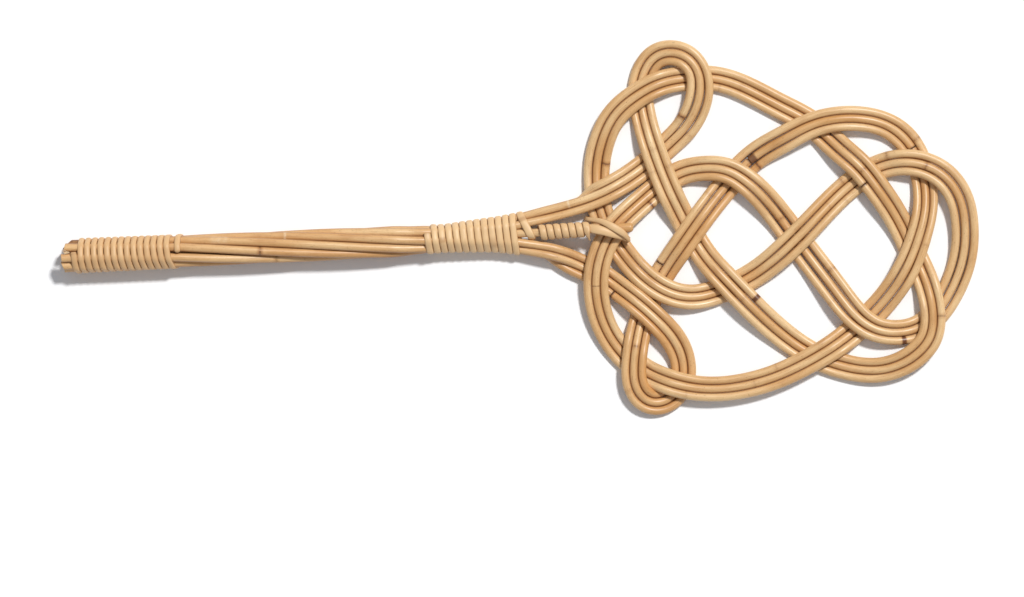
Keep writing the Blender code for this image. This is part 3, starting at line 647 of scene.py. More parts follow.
@dataclass
class Sweep:
    """A closed section carried along a path, which keeps the path's coordinates for its finish."""

    path: np.ndarray
    half_width: np.ndarray
    half_height: np.ndarray
    normals: np.ndarray | None = None
    section: Section = Section.ROUND
    sides: int = 20
    rounding: Pair = (0.0003, 0.0003)
    slants: Pair = (0.0, 0.0)
    slant_reach: float = 0.008
    round_steps: int = 4
    seed: float = 0.0
    tint: float = 0.5
    # Painted shade on each flank, left and right, at each point of the path
    grooves: np.ndarray | None = None
    traces: dict[str, np.ndarray] = field(default_factory=dict)
    thinnest_share: ClassVar[float] = 0.1
    cap_ring_share: ClassVar[float] = 0.12
    weld_distance: ClassVar[float] = 1e-6

    def refine_ends(self) -> np.ndarray:
        """Add points close to both ends, so that their edges turn over crisply.

        Returns:
            Running lengths of the new points.
        """
        along = running_length(self.path)
        quarter = 1 - np.cos(np.linspace(0.0, math.pi / 2, self.round_steps + 1))
        first = self.rounding[0] * quarter
        last = along[-1] - self.rounding[1] * quarter[::-1]
        room = 0.5 * float(np.diff(along).min())
        middle = along[(along > first[-1] + room) & (along < last[0] - room)]
        places = np.concatenate([first, middle, last])
        self.path = read_line(self.path, places)
        self.half_width = np.interp(places, along, self.half_width)
        self.half_height = np.interp(places, along, self.half_height)
        if self.normals is not None:
            self.normals = read_table(along, self.normals, places)
        if self.grooves is not None:
            self.grooves = read_table(along, self.grooves, places)
        self.traces = {key: np.interp(places, along, values) for key, values in self.traces.items()}
        return places

    def frames(self) -> tuple[np.ndarray, np.ndarray, np.ndarray]:
        """Directions along, across and out of the path at each of its points."""
        tangent = unit_rows(np.gradient(self.path, axis=0))
        out = np.array([[0.0, 0.0, 1.0]]) if self.normals is None else self.normals
        out = unit_rows(out - tangent * np.einsum("ij,ij->i", out, tangent)[:, None])
        return tangent, np.cross(tangent, out), out

    def end_shapes(self, places: np.ndarray) -> tuple[np.ndarray, np.ndarray]:
        """How far the section draws in, and how far a slanting cut shifts it, along the path.

        Args:
            places: running lengths of the points.

        Returns:
            The drawing in, in metres, and the shift for each metre across.
        """
        inset, shift = np.zeros(len(places)), np.zeros(len(places))
        for size, slant, away in zip(self.rounding, self.slants, (places, places[-1] - places)):
            share = np.clip(1 - away / size, 0.0, 1.0)
            inset += size * (1 - np.sqrt(1 - share ** 2))
            shift += slant * np.clip(1 - away / self.slant_reach, 0.0, 1.0)
        return inset, shift

    def build(self, name: str) -> bpy.types.Object:
        """Roll a grid into a tube along the path and close its ends.

        Args:
            name: name of the piece.

        Returns:
            The new piece, with its place in its mesh.
        """
        places = self.refine_ends()
        tangent, across, out = self.frames()
        inset, shift = self.end_shapes(places)
        wide = self.half_width - inset
        high = self.half_height - np.minimum(inset, self.half_height * (1 - self.thinnest_share))
        outline = self.section.outline(self.sides)
        bm = bmesh.new()
        bmesh.ops.create_grid(bm, x_segments=len(places) - 1, y_segments=self.sides, size=0.5)
        grain = bm.verts.layers.float_vector.new("grain")
        layers = {key: bm.verts.layers.float.new(key)
                  for key in (*self.traces, "cut", "shade", "edge", "groove")}
        for vertex in bm.verts:
            row = int(round((vertex.co.x + 0.5) * (len(places) - 1)))
            share_across, share_out = outline[int(round((vertex.co.y + 0.5) * self.sides))]
            offset, rise = share_across * wide[row], share_out * high[row]
            place = self.path[row] + across[row] * offset + out[row] * rise
            vertex.co = place + tangent[row] * (shift[row] * offset)
            vertex[grain] = (offset, rise, float(places[row]) + self.seed)
            vertex[layers["shade"]] = self.tint
            # Share out to the side; the strand finish paints shade along the edges with it
            vertex[layers["edge"]] = abs(share_across)
            # Painted shade on the flank that faces a neighbour, by side
            if self.grooves is not None:
                left, right = self.grooves[row]
                vertex[layers["groove"]] = max(-share_across * left, share_across * right, 0.0)
            for key, values in self.traces.items():
                vertex[layers[key]] = float(values[row])
        bmesh.ops.remove_doubles(bm, verts=bm.verts, dist=self.weld_distance)
        for face in bm.faces:
            face.smooth = True
        self.close_ends(bm, layers, self.cap_ring_share * float(min(wide[0], wide[-1])))
        return set_out_mesh(name, bm)

    def close_ends(self, bm: bmesh.types.BMesh, layers: dict[str, bmesh.types.BMLayerItem],
                   ring_width: float) -> None:
        """Close both ends of a tube with a sharp rim, and mark them as cut.

        Args:
            bm: the open tube.
            layers: the numbers kept on its corners.
            ring_width: width of the ring of faces inside the rim.
        """
        rims = [edge for edge in bm.edges if edge.is_boundary]
        caps = bmesh.ops.holes_fill(bm, edges=rims, sides=self.sides + 2)["faces"]
        ring = bmesh.ops.inset_region(bm, faces=caps, thickness=ring_width)["faces"]
        centres = bmesh.ops.poke(bm, faces=caps)
        for face in ring + centres["faces"]:
            face.smooth = True
            for vertex in face.verts:
                if not any(edge in rims for edge in vertex.link_edges):
                    vertex[layers["cut"]] = 1.0
        for vertex in centres["verts"]:
            vertex[layers["cut"]] = 1.0
            vertex[layers["shade"]] = self.tint
        for edge in rims:
            edge.smooth = False
        bmesh.ops.recalc_face_normals(bm, faces=bm.faces)


class NodeTree:
    """Short hand for wiring a material's nodes."""

    bump_depth = 0.0001

    def __init__(self, name: str) -> None:
        """Start a material with an empty node tree."""
        self.material = bpy.data.materials.new(name)
        self.material.use_nodes = True
        self.nodes = self.material.node_tree.nodes
        self.links = self.material.node_tree.links
        self.nodes.clear()

    def add(self, kind: str, **settings: object) -> bpy.types.Node:
        """Add a node and set its properties."""
        node = self.nodes.new(kind)
        for key, value in settings.items():
            setattr(node, key, value)
        return node

    def feed(self, socket: bpy.types.NodeSocket, value: object) -> None:
        """Link a socket to another, or set its value."""
        if isinstance(value, bpy.types.NodeSocket):
            self.links.new(value, socket)
        else:
            socket.default_value = value

    def feed_all(self, node: bpy.types.Node, settings: dict[str | int, object]) -> None:
        """Feed the named or numbered sockets of a node."""
        for key, value in settings.items():
            self.feed(node.inputs[key], value)

    def math(self, operation: str, first: object, second: object = 0.0,
             clamp: bool = False) -> bpy.types.NodeSocket:
        """Result of a maths node.

        Args:
            operation: what the node works out.
            first: first value or socket.
            second: second value or socket.
            clamp: whether to keep the result between 0 and 1.

        Returns:
            The node's output.
        """
        node = self.add("ShaderNodeMath", operation=operation, use_clamp=clamp)
        self.feed_all(node, {0: first, 1: second})
        return node.outputs[0]

    def times(self, first: object, second: object) -> bpy.types.NodeSocket:
        """Product of two values."""
        return self.math("MULTIPLY", first, second)

    def band(self, value: object, start: float, end: float) -> bpy.types.NodeSocket:
        """Smooth step from 0 to 1 while a value goes from one level to another."""
        node = self.add("ShaderNodeMapRange", interpolation_type="SMOOTHSTEP")
        self.feed_all(node, {0: value, 1: start, 2: end})
        return node.outputs[0]

    def mix(self, share: object, first: object, second: object) -> bpy.types.NodeSocket:
        """Mix of two colours, by the share of the second."""
        node = self.add("ShaderNodeMix", data_type="RGBA")
        self.feed_all(node, {0: share, 6: first, 7: second})
        return node.outputs[2]

    def tinge(self, colour: object, value: object, levels: Pair, share: float,
              tone: Colour) -> bpy.types.NodeSocket:
        """Cover a share of a colour with a tone, as a value goes from one level to another."""
        return self.mix(self.times(self.band(value, *levels), share), colour, tone)

    def noise(self, vector: bpy.types.NodeSocket, stretch: tuple[float, float, float],
              detail: float = 3.0, rough: float = 0.5) -> bpy.types.NodeSocket:
        """Noise over a stretched vector, 0 to 1.

        Args:
            vector: coordinates to read.
            stretch: how many cells lie in a metre of each coordinate.
            detail: layers of finer noise.
            rough: strength of the finer layers.

        Returns:
            The noise value.
        """
        scaled = self.add("ShaderNodeVectorMath", operation="MULTIPLY")
        self.feed_all(scaled, {0: vector, 1: stretch})
        node = self.add("ShaderNodeTexNoise")
        self.feed_all(node, {"Vector": scaled.outputs[0], "Scale": 1.0, "Detail": detail,
                             "Roughness": rough})
        return node.outputs["Fac"]

    def number(self, name: str) -> bpy.types.NodeSocket:
        """Number kept on the piece's own mesh."""
        return self.add("ShaderNodeAttribute", attribute_name=name).outputs["Fac"]

    def place(self, name: str) -> bpy.types.NodeSocket:
        """Coordinates kept on the piece's own mesh."""
        return self.add("ShaderNodeAttribute", attribute_name=name).outputs["Vector"]

    def surface(self, colour: bpy.types.NodeSocket, rough: object, specular: float,
                relief: object, strength: float) -> bpy.types.Material:
        """Finish the material with its shader and bump.

        Args:
            colour: base colour.
            rough: roughness.
            specular: specular level, the same all over.
            relief: height for the bump, in shares of its depth.
            strength: strength of the bump.

        Returns:
            The finished material.
        """
        bump = self.add("ShaderNodeBump")
        self.feed_all(bump, {"Strength": strength, "Distance": self.bump_depth,
                             "Height": relief})
        shader = self.add("ShaderNodeBsdfPrincipled")
        self.feed_all(shader, {"Base Color": colour, "Roughness": rough,
                               "Specular IOR Level": specular, "Normal": bump.outputs[0]})
        output = self.add("ShaderNodeOutputMaterial")
        self.feed(output.inputs["Surface"], shader.outputs[0])
        return self.material


def srgb(red: float, green: float, blue: float) -> Colour:
    """Linear colour of an 8-bit screen colour.

    Args:
        red: red, 0 to 255.
        green: green, 0 to 255.
        blue: blue, 0 to 255.

    Returns:
        Red, green, blue and full alpha.
    """
    def linear(value: float) -> float:
        """One channel made linear."""
        share = value / 255
        return share / 12.92 if share <= 0.04045 else ((share + 0.055) / 1.055) ** 2.4
    return (linear(red), linear(green), linear(blue), 1.0)


@dataclass(frozen=True)
class CaneFinish:
    """Dry rattan: fine fibres along the cane, blotches, dark specks, ringed nodes and stains."""

    name: str
    pale: Colour
    deep: Colour
    streak: Colour
    warm: Colour = srgb(206, 138, 62)
    ring: Colour = srgb(104, 62, 38)
    # Painted shade on the flanks that face neighbouring canes, the shaded grooves between them
    groove: Colour = srgb(146, 82, 36)
    frayed: Colour = srgb(244, 226, 192)
    end_grain: Colour = srgb(176, 122, 76)
    roughness: float = 0.35

    def material(self) -> bpy.types.Material:
        """Build the node material."""
        tree = NodeTree(self.name)
        grain = tree.place("grain")
        blotch = tree.noise(grain, (60.0, 60.0, 14.0), 2.0)
        long_blotch = tree.noise(grain, (140.0, 140.0, 42.0), 3.0)
        fibre = tree.noise(grain, (2400.0, 2400.0, 60.0), 3.0, 0.6)
        fine_fibre = tree.noise(grain, (5200.0, 5200.0, 260.0), 2.0, 0.6)
        speck = tree.noise(grain, (1500.0, 1500.0, 560.0), 1.0)
        tone = tree.math("ADD", tree.times(tree.number("shade"), 0.7),
                         tree.times(tree.band(blotch, 0.32, 0.68), 0.6))
        colour = tree.mix(tree.math("MULTIPLY", tone, 0.85, clamp=True), self.pale, self.deep)
        colour = tree.mix(tree.times(tree.number("warm"), 0.4), colour, self.warm)
        for value, levels, share, over in (
                (fibre, (0.46, 0.76), 0.5, self.streak),
                (fine_fibre, (0.5, 0.72), 0.4, self.streak),
                (long_blotch, (0.55, 0.76), 0.26, self.streak),
                (speck, (0.66, 0.76), 0.45, self.ring),
                # Painted shade in the grooves between neighbouring canes
                (tree.number("groove"), (0.6, 1.0), 0.5, self.groove)):
            colour = tree.tinge(colour, value, levels, share, over)
        colour, line = self.nodes(tree, grain, colour)
        pores = tree.noise(grain, (3000.0, 3000.0, 12.0), 2.0)
        ends = tree.mix(tree.band(pores, 0.42, 0.62), self.end_grain, self.ring)
        colour = tree.mix(tree.number("cut"), colour, ends)
        uneven = tree.times(tree.math("SUBTRACT", fibre, 0.4), 0.25)
        rough = tree.math("ADD", self.roughness, uneven)
        relief = tree.math("ADD", tree.times(fibre, 0.6), tree.times(fine_fibre, 0.3))
        relief = tree.math("SUBTRACT", relief, tree.times(line, 1.5))
        return tree.surface(colour, rough, 0.5, relief, 0.3)

    def nodes(self, tree: NodeTree, grain: bpy.types.NodeSocket,
              colour: bpy.types.NodeSocket) -> tuple[bpy.types.NodeSocket, bpy.types.NodeSocket]:
        """Draw the node rings, the stains and the frayed places over a colour.

        Args:
            tree: the material's tree.
            grain: the cane's own coordinates.
            colour: colour of the bare cane.

        Returns:
            The new colour, and how deep the ring lies cut.
        """
        wobble = tree.math("SUBTRACT", tree.noise(grain, (500.0, 500.0, 60.0), 2.0), 0.5)
        shifted = tree.math("ADD", tree.number("ring_away"), tree.times(wobble, 0.0018))
        distance = tree.math("ABSOLUTE", shifted)
        deep = tree.number("ring_deep")
        halo = tree.times(tree.band(distance, 0.0040, 0.0008), tree.times(deep, 0.65))
        colour = tree.mix(halo, colour, self.streak)
        patchy = tree.band(tree.noise(grain, (800.0, 800.0, 160.0), 1.0), 0.3, 0.6)
        line = tree.times(tree.times(tree.band(distance, 0.0012, 0.0004), patchy), deep)
        colour = tree.mix(tree.times(line, 0.85), colour, self.ring)
        torn = tree.noise(grain, (900.0, 900.0, 300.0), 3.0, 0.7)
        ragged = tree.times(tree.math("SUBTRACT", torn, 0.5), 1.1)
        for name, levels, share, over in (("stain", (0.15, 0.8), 0.88, self.ring),
                                          ("frayed", (0.25, 0.7), 1.0, self.frayed)):
            amount = tree.number(name)
            amount = tree.math("ADD", amount, tree.times(ragged, amount))
            colour = tree.tinge(colour, amount, levels, share, over)
        return colour, line


@dataclass(frozen=True)
class StrandFinish:
    """Split cane with fine fibre lines: pale on its crown, painted shade along its edges."""

    name: str
    pale: Colour = srgb(238, 203, 154)
    deep: Colour = srgb(206, 158, 106)
    streak: Colour = srgb(176, 126, 76)
    # Colour of the dark specks and stains, and of the painted shade along the edges
    edge: Colour = srgb(150, 98, 54)
    roughness: float = 0.45

    def material(self) -> bpy.types.Material:
        """Build the node material."""
        tree = NodeTree(self.name)
        grain = tree.place("grain")
        blotch = tree.noise(grain, (130.0, 130.0, 60.0), 2.0)
        fibre = tree.noise(grain, (3200.0, 600.0, 60.0), 3.0, 0.6)
        fine_fibre = tree.noise(grain, (7000.0, 900.0, 200.0), 2.0, 0.6)
        tone = tree.math("ADD", tree.times(tree.number("shade"), 0.5), tree.times(blotch, 0.7))
        colour = tree.mix(tree.math("MULTIPLY", tone, 0.8, clamp=True), self.pale, self.deep)
        speck = tree.noise(grain, (1600.0, 1600.0, 900.0), 1.0)
        for value, levels, share, over in (
                (fibre, (0.5, 0.8), 0.34, self.streak),
                (fine_fibre, (0.5, 0.76), 0.2, self.streak),
                (speck, (0.73, 0.8), 0.3, self.edge),
                # Painted shade along the strand's edges, where it meets the turns and canes beside
                # it
                (tree.number("edge"), (0.8, 1.0), 0.6, self.edge)):
            colour = tree.tinge(colour, value, levels, share, over)
        colour = tree.mix(tree.times(tree.number("stain"), 0.8), colour, self.edge)
        relief = tree.math("ADD", tree.times(fibre, 0.6), tree.times(fine_fibre, 0.4))
        return tree.surface(colour, self.roughness, 0.4, relief, 0.35)


@dataclass
class Finishes:
    """The finishes of the beater, each made once and shared by its pieces."""

    kinds: dict[Wood, CaneFinish | StrandFinish] = field(default_factory=lambda: {
        Wood.CANE: CaneFinish(
            "cane_natural", srgb(242, 209, 158), srgb(206, 150, 86), srgb(166, 106, 52)),
        Wood.SKIN: CaneFinish(
            "cane_skin", srgb(238, 200, 146), srgb(200, 142, 80), srgb(160, 100, 48)),
        Wood.STRAND: StrandFinish("split_cane")})
    made: dict[Wood, bpy.types.Material] = field(default_factory=dict)

    def dress(self, piece: bpy.types.Object, wood: Wood) -> None:
        """Put a finish on a piece.

        Args:
            piece: the finished piece.
            wood: what it is made of.
        """
        if wood not in self.made:
            self.made[wood] = self.kinds[wood].material()
        piece.data.materials.append(self.made[wood])

    def stand_in(self, piece: bpy.types.Object, node: str, wood: Wood) -> None:
        """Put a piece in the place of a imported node, and dress it.

        Args:
            piece: the finished piece.
            node: name of the node that it stands for.
            wood: what it is made of.
        """
        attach(piece, BODY)
        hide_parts(node)
        self.dress(piece, wood)


class MarkKind(Enum):
    """What is seen on a cane: the trace that it is drawn with."""

    RING = "ring_deep"
    STAIN = "stain"
    FRAYED = "frayed"


@dataclass(frozen=True)
class Mark:
    """One mark on a cane, by its place in the picture."""

    column: float
    row: float
    kind: MarkKind = MarkKind.RING
    depth: float = 0.5
    reach: float = 0.004
    cane: str = ""


@dataclass
class Canes:
    """The canes of the head and the handle, in their separate lengths."""

    finishes: Finishes
    band: Band
    handle: HandleBundle
    step: float = 0.0012
    bend_reach: float = 0.006
    filler_bend_reach: float = 0.004
    splices: dict[Side, tuple[tuple[int, float], ...]] = field(default_factory=lambda: {
        Side.CENTRE: ((7, 1.6), (35, 2.2), (37, -2.4)),
        Side.LEFT: ((12, -0.9), (44, -3.1)),
        Side.RIGHT: ((39, -2.6),)})
    marks: tuple[Mark, ...] = (
        *(Mark(column, row, MarkKind.RING, depth) for column, row, depth in (
            (755, 300, 1.0), (904, 339, 1.0), (841, 180, 0.5), (925, 166, 0.6), (940, 316, 0.5),
            (682, 117, 1.0), (605, 163, 0.8), (650, 204.5, 1.0), (636, 347, 0.5), (918, 137, 0.5),
            (887, 154, 0.5), (832, 270, 0.5), (782, 217, 0.5), (862, 170, 0.5), (759, 166, 0.9),
            (261, 249, 0.9), (276, 258, 0.5))),
        *(Mark(column, row, MarkKind.STAIN, depth, reach) for column, row, depth, reach in (
            (755, 300, 0.9, 0.0024), (904, 339, 0.9, 0.0026), (681, 122, 0.3, 0.006),
            (605, 170, 0.22, 0.008), (595, 286, 0.6, 0.0012), (759, 166, 0.6, 0.0012),
            (751, 162.5, 0.85, 0.0085))),
        Mark(73, 243, MarkKind.STAIN, 0.62, 0.016, "centre_cane_4"),
        *(Mark(column, row, MarkKind.FRAYED, depth, reach) for column, row, depth, reach in (
            (568, 204, 0.45, 0.0018), (286, 234, 0.45, 0.0018), (414, 235, 0.35, 0.0014),
            (220, 241, 0.35, 0.012))))
    faint_ring: float = 0.2
    first_ring: Pair = (0.04, 0.16)
    ring_spans: Pair = (0.19, 0.31)
    ring_clearances: Pair = (0.07, 0.02)
    warm_start: tuple[int, float] = (37, -0.024)
    warm_cane: str = "left_cane_2"
    skins: tuple[str, ...] = ("left_cane_3", "right_cane_2")
    # How dark each length is all over, at its first end and at its last
    shades: dict[str, tuple[float, float, float]] = field(default_factory=lambda: {
        "centre_cane_1": (0.1, 0.3, 0.5), "centre_cane_2": (0.5, 0.5, 0.5),
        "centre_cane_3": (0.66, 0.6, 0.7), "centre_cane_4": (0.45, 0.7, 0.3),
        "left_cane_1": (0.25, 0.3, 0.8), "left_cane_2": (0.36, 0.6, 0.9),
        "left_cane_3": (0.35, 0.5, 0.3), "right_cane_1": (0.25, 0.3, 0.85),
        "right_cane_2": (0.35, 0.6, 0.3), "core_cane": (0.5, 0.5, 0.15),
        "filler_a": (0.6, 0.3, 0.0), "filler_b": (0.35, 0.3, 0.0)})
    dark_start: float = 1.3
    dark_reach: float = 0.0016
    warm_reach: float = 0.014
    ring_swell: float = 0.02
    ring_swell_reach: float = 0.0024
    fully_in_handle: float = 0.03
    seed_step: float = 3.7
    end_rounding: float = 0.0003
    # Slants of the cuts at the butt, at the first and the last end of a length
    butt_slants: dict[str, Pair] = field(default_factory=lambda: {
        "centre_cane_4": (0.0, -1.1), "left_cane_3": (0.0, -0.25), "filler_b": (0.05, 0.0),
        "filler_a": (0.4, 0.0)})
    height_weight: float = 0.3
    knob: float = 0.0024
    lines: dict[str, np.ndarray] = field(default_factory=dict)

    def lay(self) -> None:
        """Work out the centre line of every length of cane."""
        for side in Side:
            upper = self.handle.line(side.label + "_high")
            lower = self.handle.line(side.label + "_low")[::-1]
            whole = np.vstack([upper, self.band.lines[side][1:-1], lower])
            whole = soften(whole, self.step, self.bend_reach)
            along = running_length(whole)
            cuts = [self.place_of(whole, side, number, share * SIZES.cane)
                    for number, share in sorted(self.splices[side])]
            edges = [0.0] + cuts + [float(along[-1])]
            for number in range(len(edges) - 1):
                start = edges[number] + (SIZES.splice_gap / 2 if number else 0.0)
                end = edges[number + 1] - (SIZES.splice_gap / 2 if number < len(edges) - 2 else 0.0)
                places = np.linspace(start, end, max(int((end - start) / self.step), 8))
                self.lines[f"{side.label}_cane_{number + 1}"] = read_line(whole, places)
        spoke = np.vstack([self.handle.line("core"), Spoke.route()])
        self.lines["core_cane"] = soften(spoke, self.step, self.bend_reach)
        for name in self.handle.filler_end_shares:
            filler = self.handle.line(name)
            self.lines[name] = soften(filler, self.step, self.filler_bend_reach)

    def place_of(self, line: np.ndarray, side: Side, number: int, beyond: float) -> float:
        """Running length, on a whole cane, of a place on the band.

        Args:
            line: centre line of the whole cane.
            side: which of the three canes it is.
            number: the crossing that the place is counted from.
            beyond: how far beyond that crossing it lies.

        Returns:
            The running length of the nearest point.
        """
        point = self.band.point(side, self.band.crossing_place(number) + beyond)
        away = np.linalg.norm(line[:, :3] - point, axis=1)
        return float(running_length(line)[int(np.argmin(away))])

    def spots(self) -> dict[str, list[tuple[float, Mark]]]:
        """Running lengths of the marks on each cane: those seen, then faint rings a span apart."""
        spots: dict[str, list[tuple[float, Mark]]] = {name: [] for name in self.lines}
        for mark in self.marks:
            spot = PICTURE.place(mark.column, mark.row)
            best = mark.cane or min(self.lines, key=lambda name: self.misfit(name, spot))
            away = np.linalg.norm(self.lines[best][:, :2] - spot, axis=1) - self.lines[best][:, 2]
            place = running_length(self.lines[best])[int(np.argmin(away))]
            spots[best].append((float(place), mark))
        generator = np.random.default_rng(7)
        apart, from_end = self.ring_clearances
        for name, line in self.lines.items():
            length = running_length(line)[-1]
            place = generator.uniform(*self.first_ring)
            while place < length - from_end:
                if all(abs(place - other) > apart for other, _ in spots[name]):
                    spots[name].append((float(place), Mark(0, 0, depth=self.faint_ring)))
                place += generator.uniform(*self.ring_spans)
        return spots

    def misfit(self, name: str, spot: np.ndarray) -> float:
        """How ill a cane fits a mark seen at a spot: far off in plan, or hidden low down.

        Args:
            name: the cane.
            spot: plan place of the mark.

        Returns:
            A number that is smallest for the best cane.
        """
        line = self.lines[name]
        away = np.linalg.norm(line[:, :2] - spot, axis=1)
        near = away < SIZES.cane
        if not near.any():
            return 1.0
        return float(away.min()) - self.height_weight * float(line[near][:, 2].max())

    def traces(self, name: str, line: np.ndarray,
               spots: list[tuple[float, Mark]]) -> dict[str, np.ndarray]:
        """Numbers along one cane that its finish reads.

        Args:
            name: the cane.
            line: its centre line.
            spots: its marks and their running lengths.

        Returns:
            One value for each point of the line, by trace.
        """
        along = running_length(line)
        traces = {kind.value: np.zeros(len(line)) for kind in MarkKind}
        traces |= {"ring_away": np.full(len(line), 1.0), "warm": np.zeros(len(line))}
        for place, mark in spots:
            away = along - place
            window = mark.depth * ease((mark.reach - np.abs(away)) / (mark.reach * 0.5))
            traces[mark.kind.value] = np.maximum(traces[mark.kind.value], window)
            if mark.kind is MarkKind.RING:
                closer = np.abs(away) < np.abs(traces["ring_away"])
                traces["ring_away"] = np.where(closer, away, traces["ring_away"])
        for depth, away in zip(self.shades[name][1:], (along, along[-1] - along)):
            dark = depth * ease(self.dark_start - away / self.dark_reach)
            traces["stain"] = np.maximum(traces["stain"], dark)
        if name == self.warm_cane:
            start = self.place_of(line, Side.LEFT, *self.warm_start)
            traces["warm"] = ease((along - start) / self.warm_reach)
        return traces

    def build(self) -> None:
        """Make every cane, swelling a little round its rings."""
        spots = self.spots()
        for number, (name, line) in enumerate(self.lines.items()):
            traces = self.traces(name, line, spots[name])
            away = np.abs(traces["ring_away"])
            bulge = self.ring_swell * traces["ring_deep"].max()
            swell = 1 + bulge * np.exp(-(away / self.ring_swell_reach) ** 2)
            last_rounding = self.knob if name == "core_cane" else self.end_rounding
            sweep = Sweep(line[:, :3], line[:, 3] * swell, line[:, 4] * swell,
                          rounding=(self.end_rounding, last_rounding),
                          slants=self.butt_slants.get(name, (0.0, 0.0)),
                          seed=number * self.seed_step, tint=self.shades[name][0],
                          grooves=self.groove_sides(name, line), traces=traces)
            wood = Wood.SKIN if name in self.skins else Wood.CANE
            self.finishes.stand_in(sweep.build(name + "_look"), name, wood)
            length = running_length(line)[-1] * 1000
            log.info("%s: %.0f mm of cane, %d marks", name, length, len(spots[name]))

    def groove_sides(self, name: str, line: np.ndarray) -> np.ndarray:
        """Painted shade on the two flanks of a cane that face its neighbours in the band.

        Args:
            name: the cane.
            line: its centre line.

        Returns:
            Two columns, for the left flank and the right one. In the handle both carry painted
            shade.
        """
        flanks = {"left": (0.0, 1.0), "centre": (1.0, 1.0), "right": (1.0, 0.0)}
        in_band = flanks.get(name.split("_")[0], (0.0, 0.0))
        in_handle = ease(-line[:, 0] / self.fully_in_handle)
        return np.column_stack([np.maximum(side, in_handle) for side in in_band])


@dataclass
class Fibres:
    """Frayed fibres that stick out of the gap between the canes at the butt."""

    finishes: Finishes
    beside: np.ndarray
    count: int = 11
    thickness: float = 0.0004
    root_area: tuple[Pair, Pair] = ((67.5, 70.5), (251.4, 253.6))
    tip_area: tuple[Pair, Pair] = ((62.5, 67.0), (249.8, 254.8))
    root_depths: Pair = (0.002, 0.0032)
    tip_depths: Pair = (-0.0004, 0.0014)
    lean: Pair = (-0.0009, 0.0009)
    arch: float = 0.0012
    colour_seed: float = 5.1

    def draw(self, generator: np.random.Generator, area: tuple[Pair, Pair], depths: Pair,
             crown: float) -> np.ndarray:
        """Draw a point in an area of the picture.

        Args:
            generator: where the random numbers come from.
            area: its columns and its rows.
            depths: how far below the crown the point may lie.
            crown: height of the crown of the cane beside it.

        Returns:
            The point.
        """
        columns, rows = area
        plan = PICTURE.place(generator.uniform(*columns), generator.uniform(*rows))
        return np.array([*plan, crown - generator.uniform(*depths)])

    def build(self) -> None:
        """Make the fibres as one piece."""
        generator = np.random.default_rng(11)
        butt = self.beside[np.argmin(self.beside[:, 0])]
        crown = float(butt[2] + butt[4])
        strands = []
        for number in range(self.count):
            root = self.draw(generator, self.root_area, self.root_depths, crown)
            tip = self.draw(generator, self.tip_area, self.tip_depths, crown)
            bow = (root + tip) / 2 + np.array([0.0, generator.uniform(*self.lean), self.arch])
            share = np.linspace(0.0, 1.0, 9)[:, None]
            path = root * (1 - share) ** 2 + 2 * bow * share * (1 - share) + tip * share ** 2
            half = np.linspace(self.thickness / 2, self.thickness / 5, len(path))
            normals = np.tile(np.array([0.0, 1.0, 0.3]), (len(path), 1))
            traces = {"frayed": np.full(len(path), generator.uniform(0.4, 1.0))}
            sweep = Sweep(path, half * 1.6, half, normals, sides=6, rounding=(0.00005, 0.00005),
                          seed=self.colour_seed + number, tint=0.4, traces=traces)
            strands.append(sweep.build(f"fibre_{number}"))
        whole = bmesh.new()
        for strand in strands:
            whole.from_mesh(strand.data)
            bpy.data.objects.remove(strand, do_unlink=True)
        piece = set_out_mesh("butt_fibres", whole)
        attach(piece, BODY)
        self.finishes.dress(piece, Wood.CANE)
        log.info("butt_fibres: %d fibres", self.count)


def soften_strand(points: np.ndarray, normals: np.ndarray, step: float,
                  reach: float) -> tuple[np.ndarray, np.ndarray, np.ndarray]:
    """Round the corners of a wound strand's path.

    Args:
        points: the strand's points.
        normals: the way its domed side faces at each of them.
        step: distance between the new points.
        reach: how far along the strand the rounding reaches.

    Returns:
        The new points, their running lengths and the way that the domed side faces at them.
    """
    path = soften(points, step, reach)
    along = running_length(points)
    places = np.linspace(0, along[-1], len(path))
    return path, places, read_table(along, normals, places)


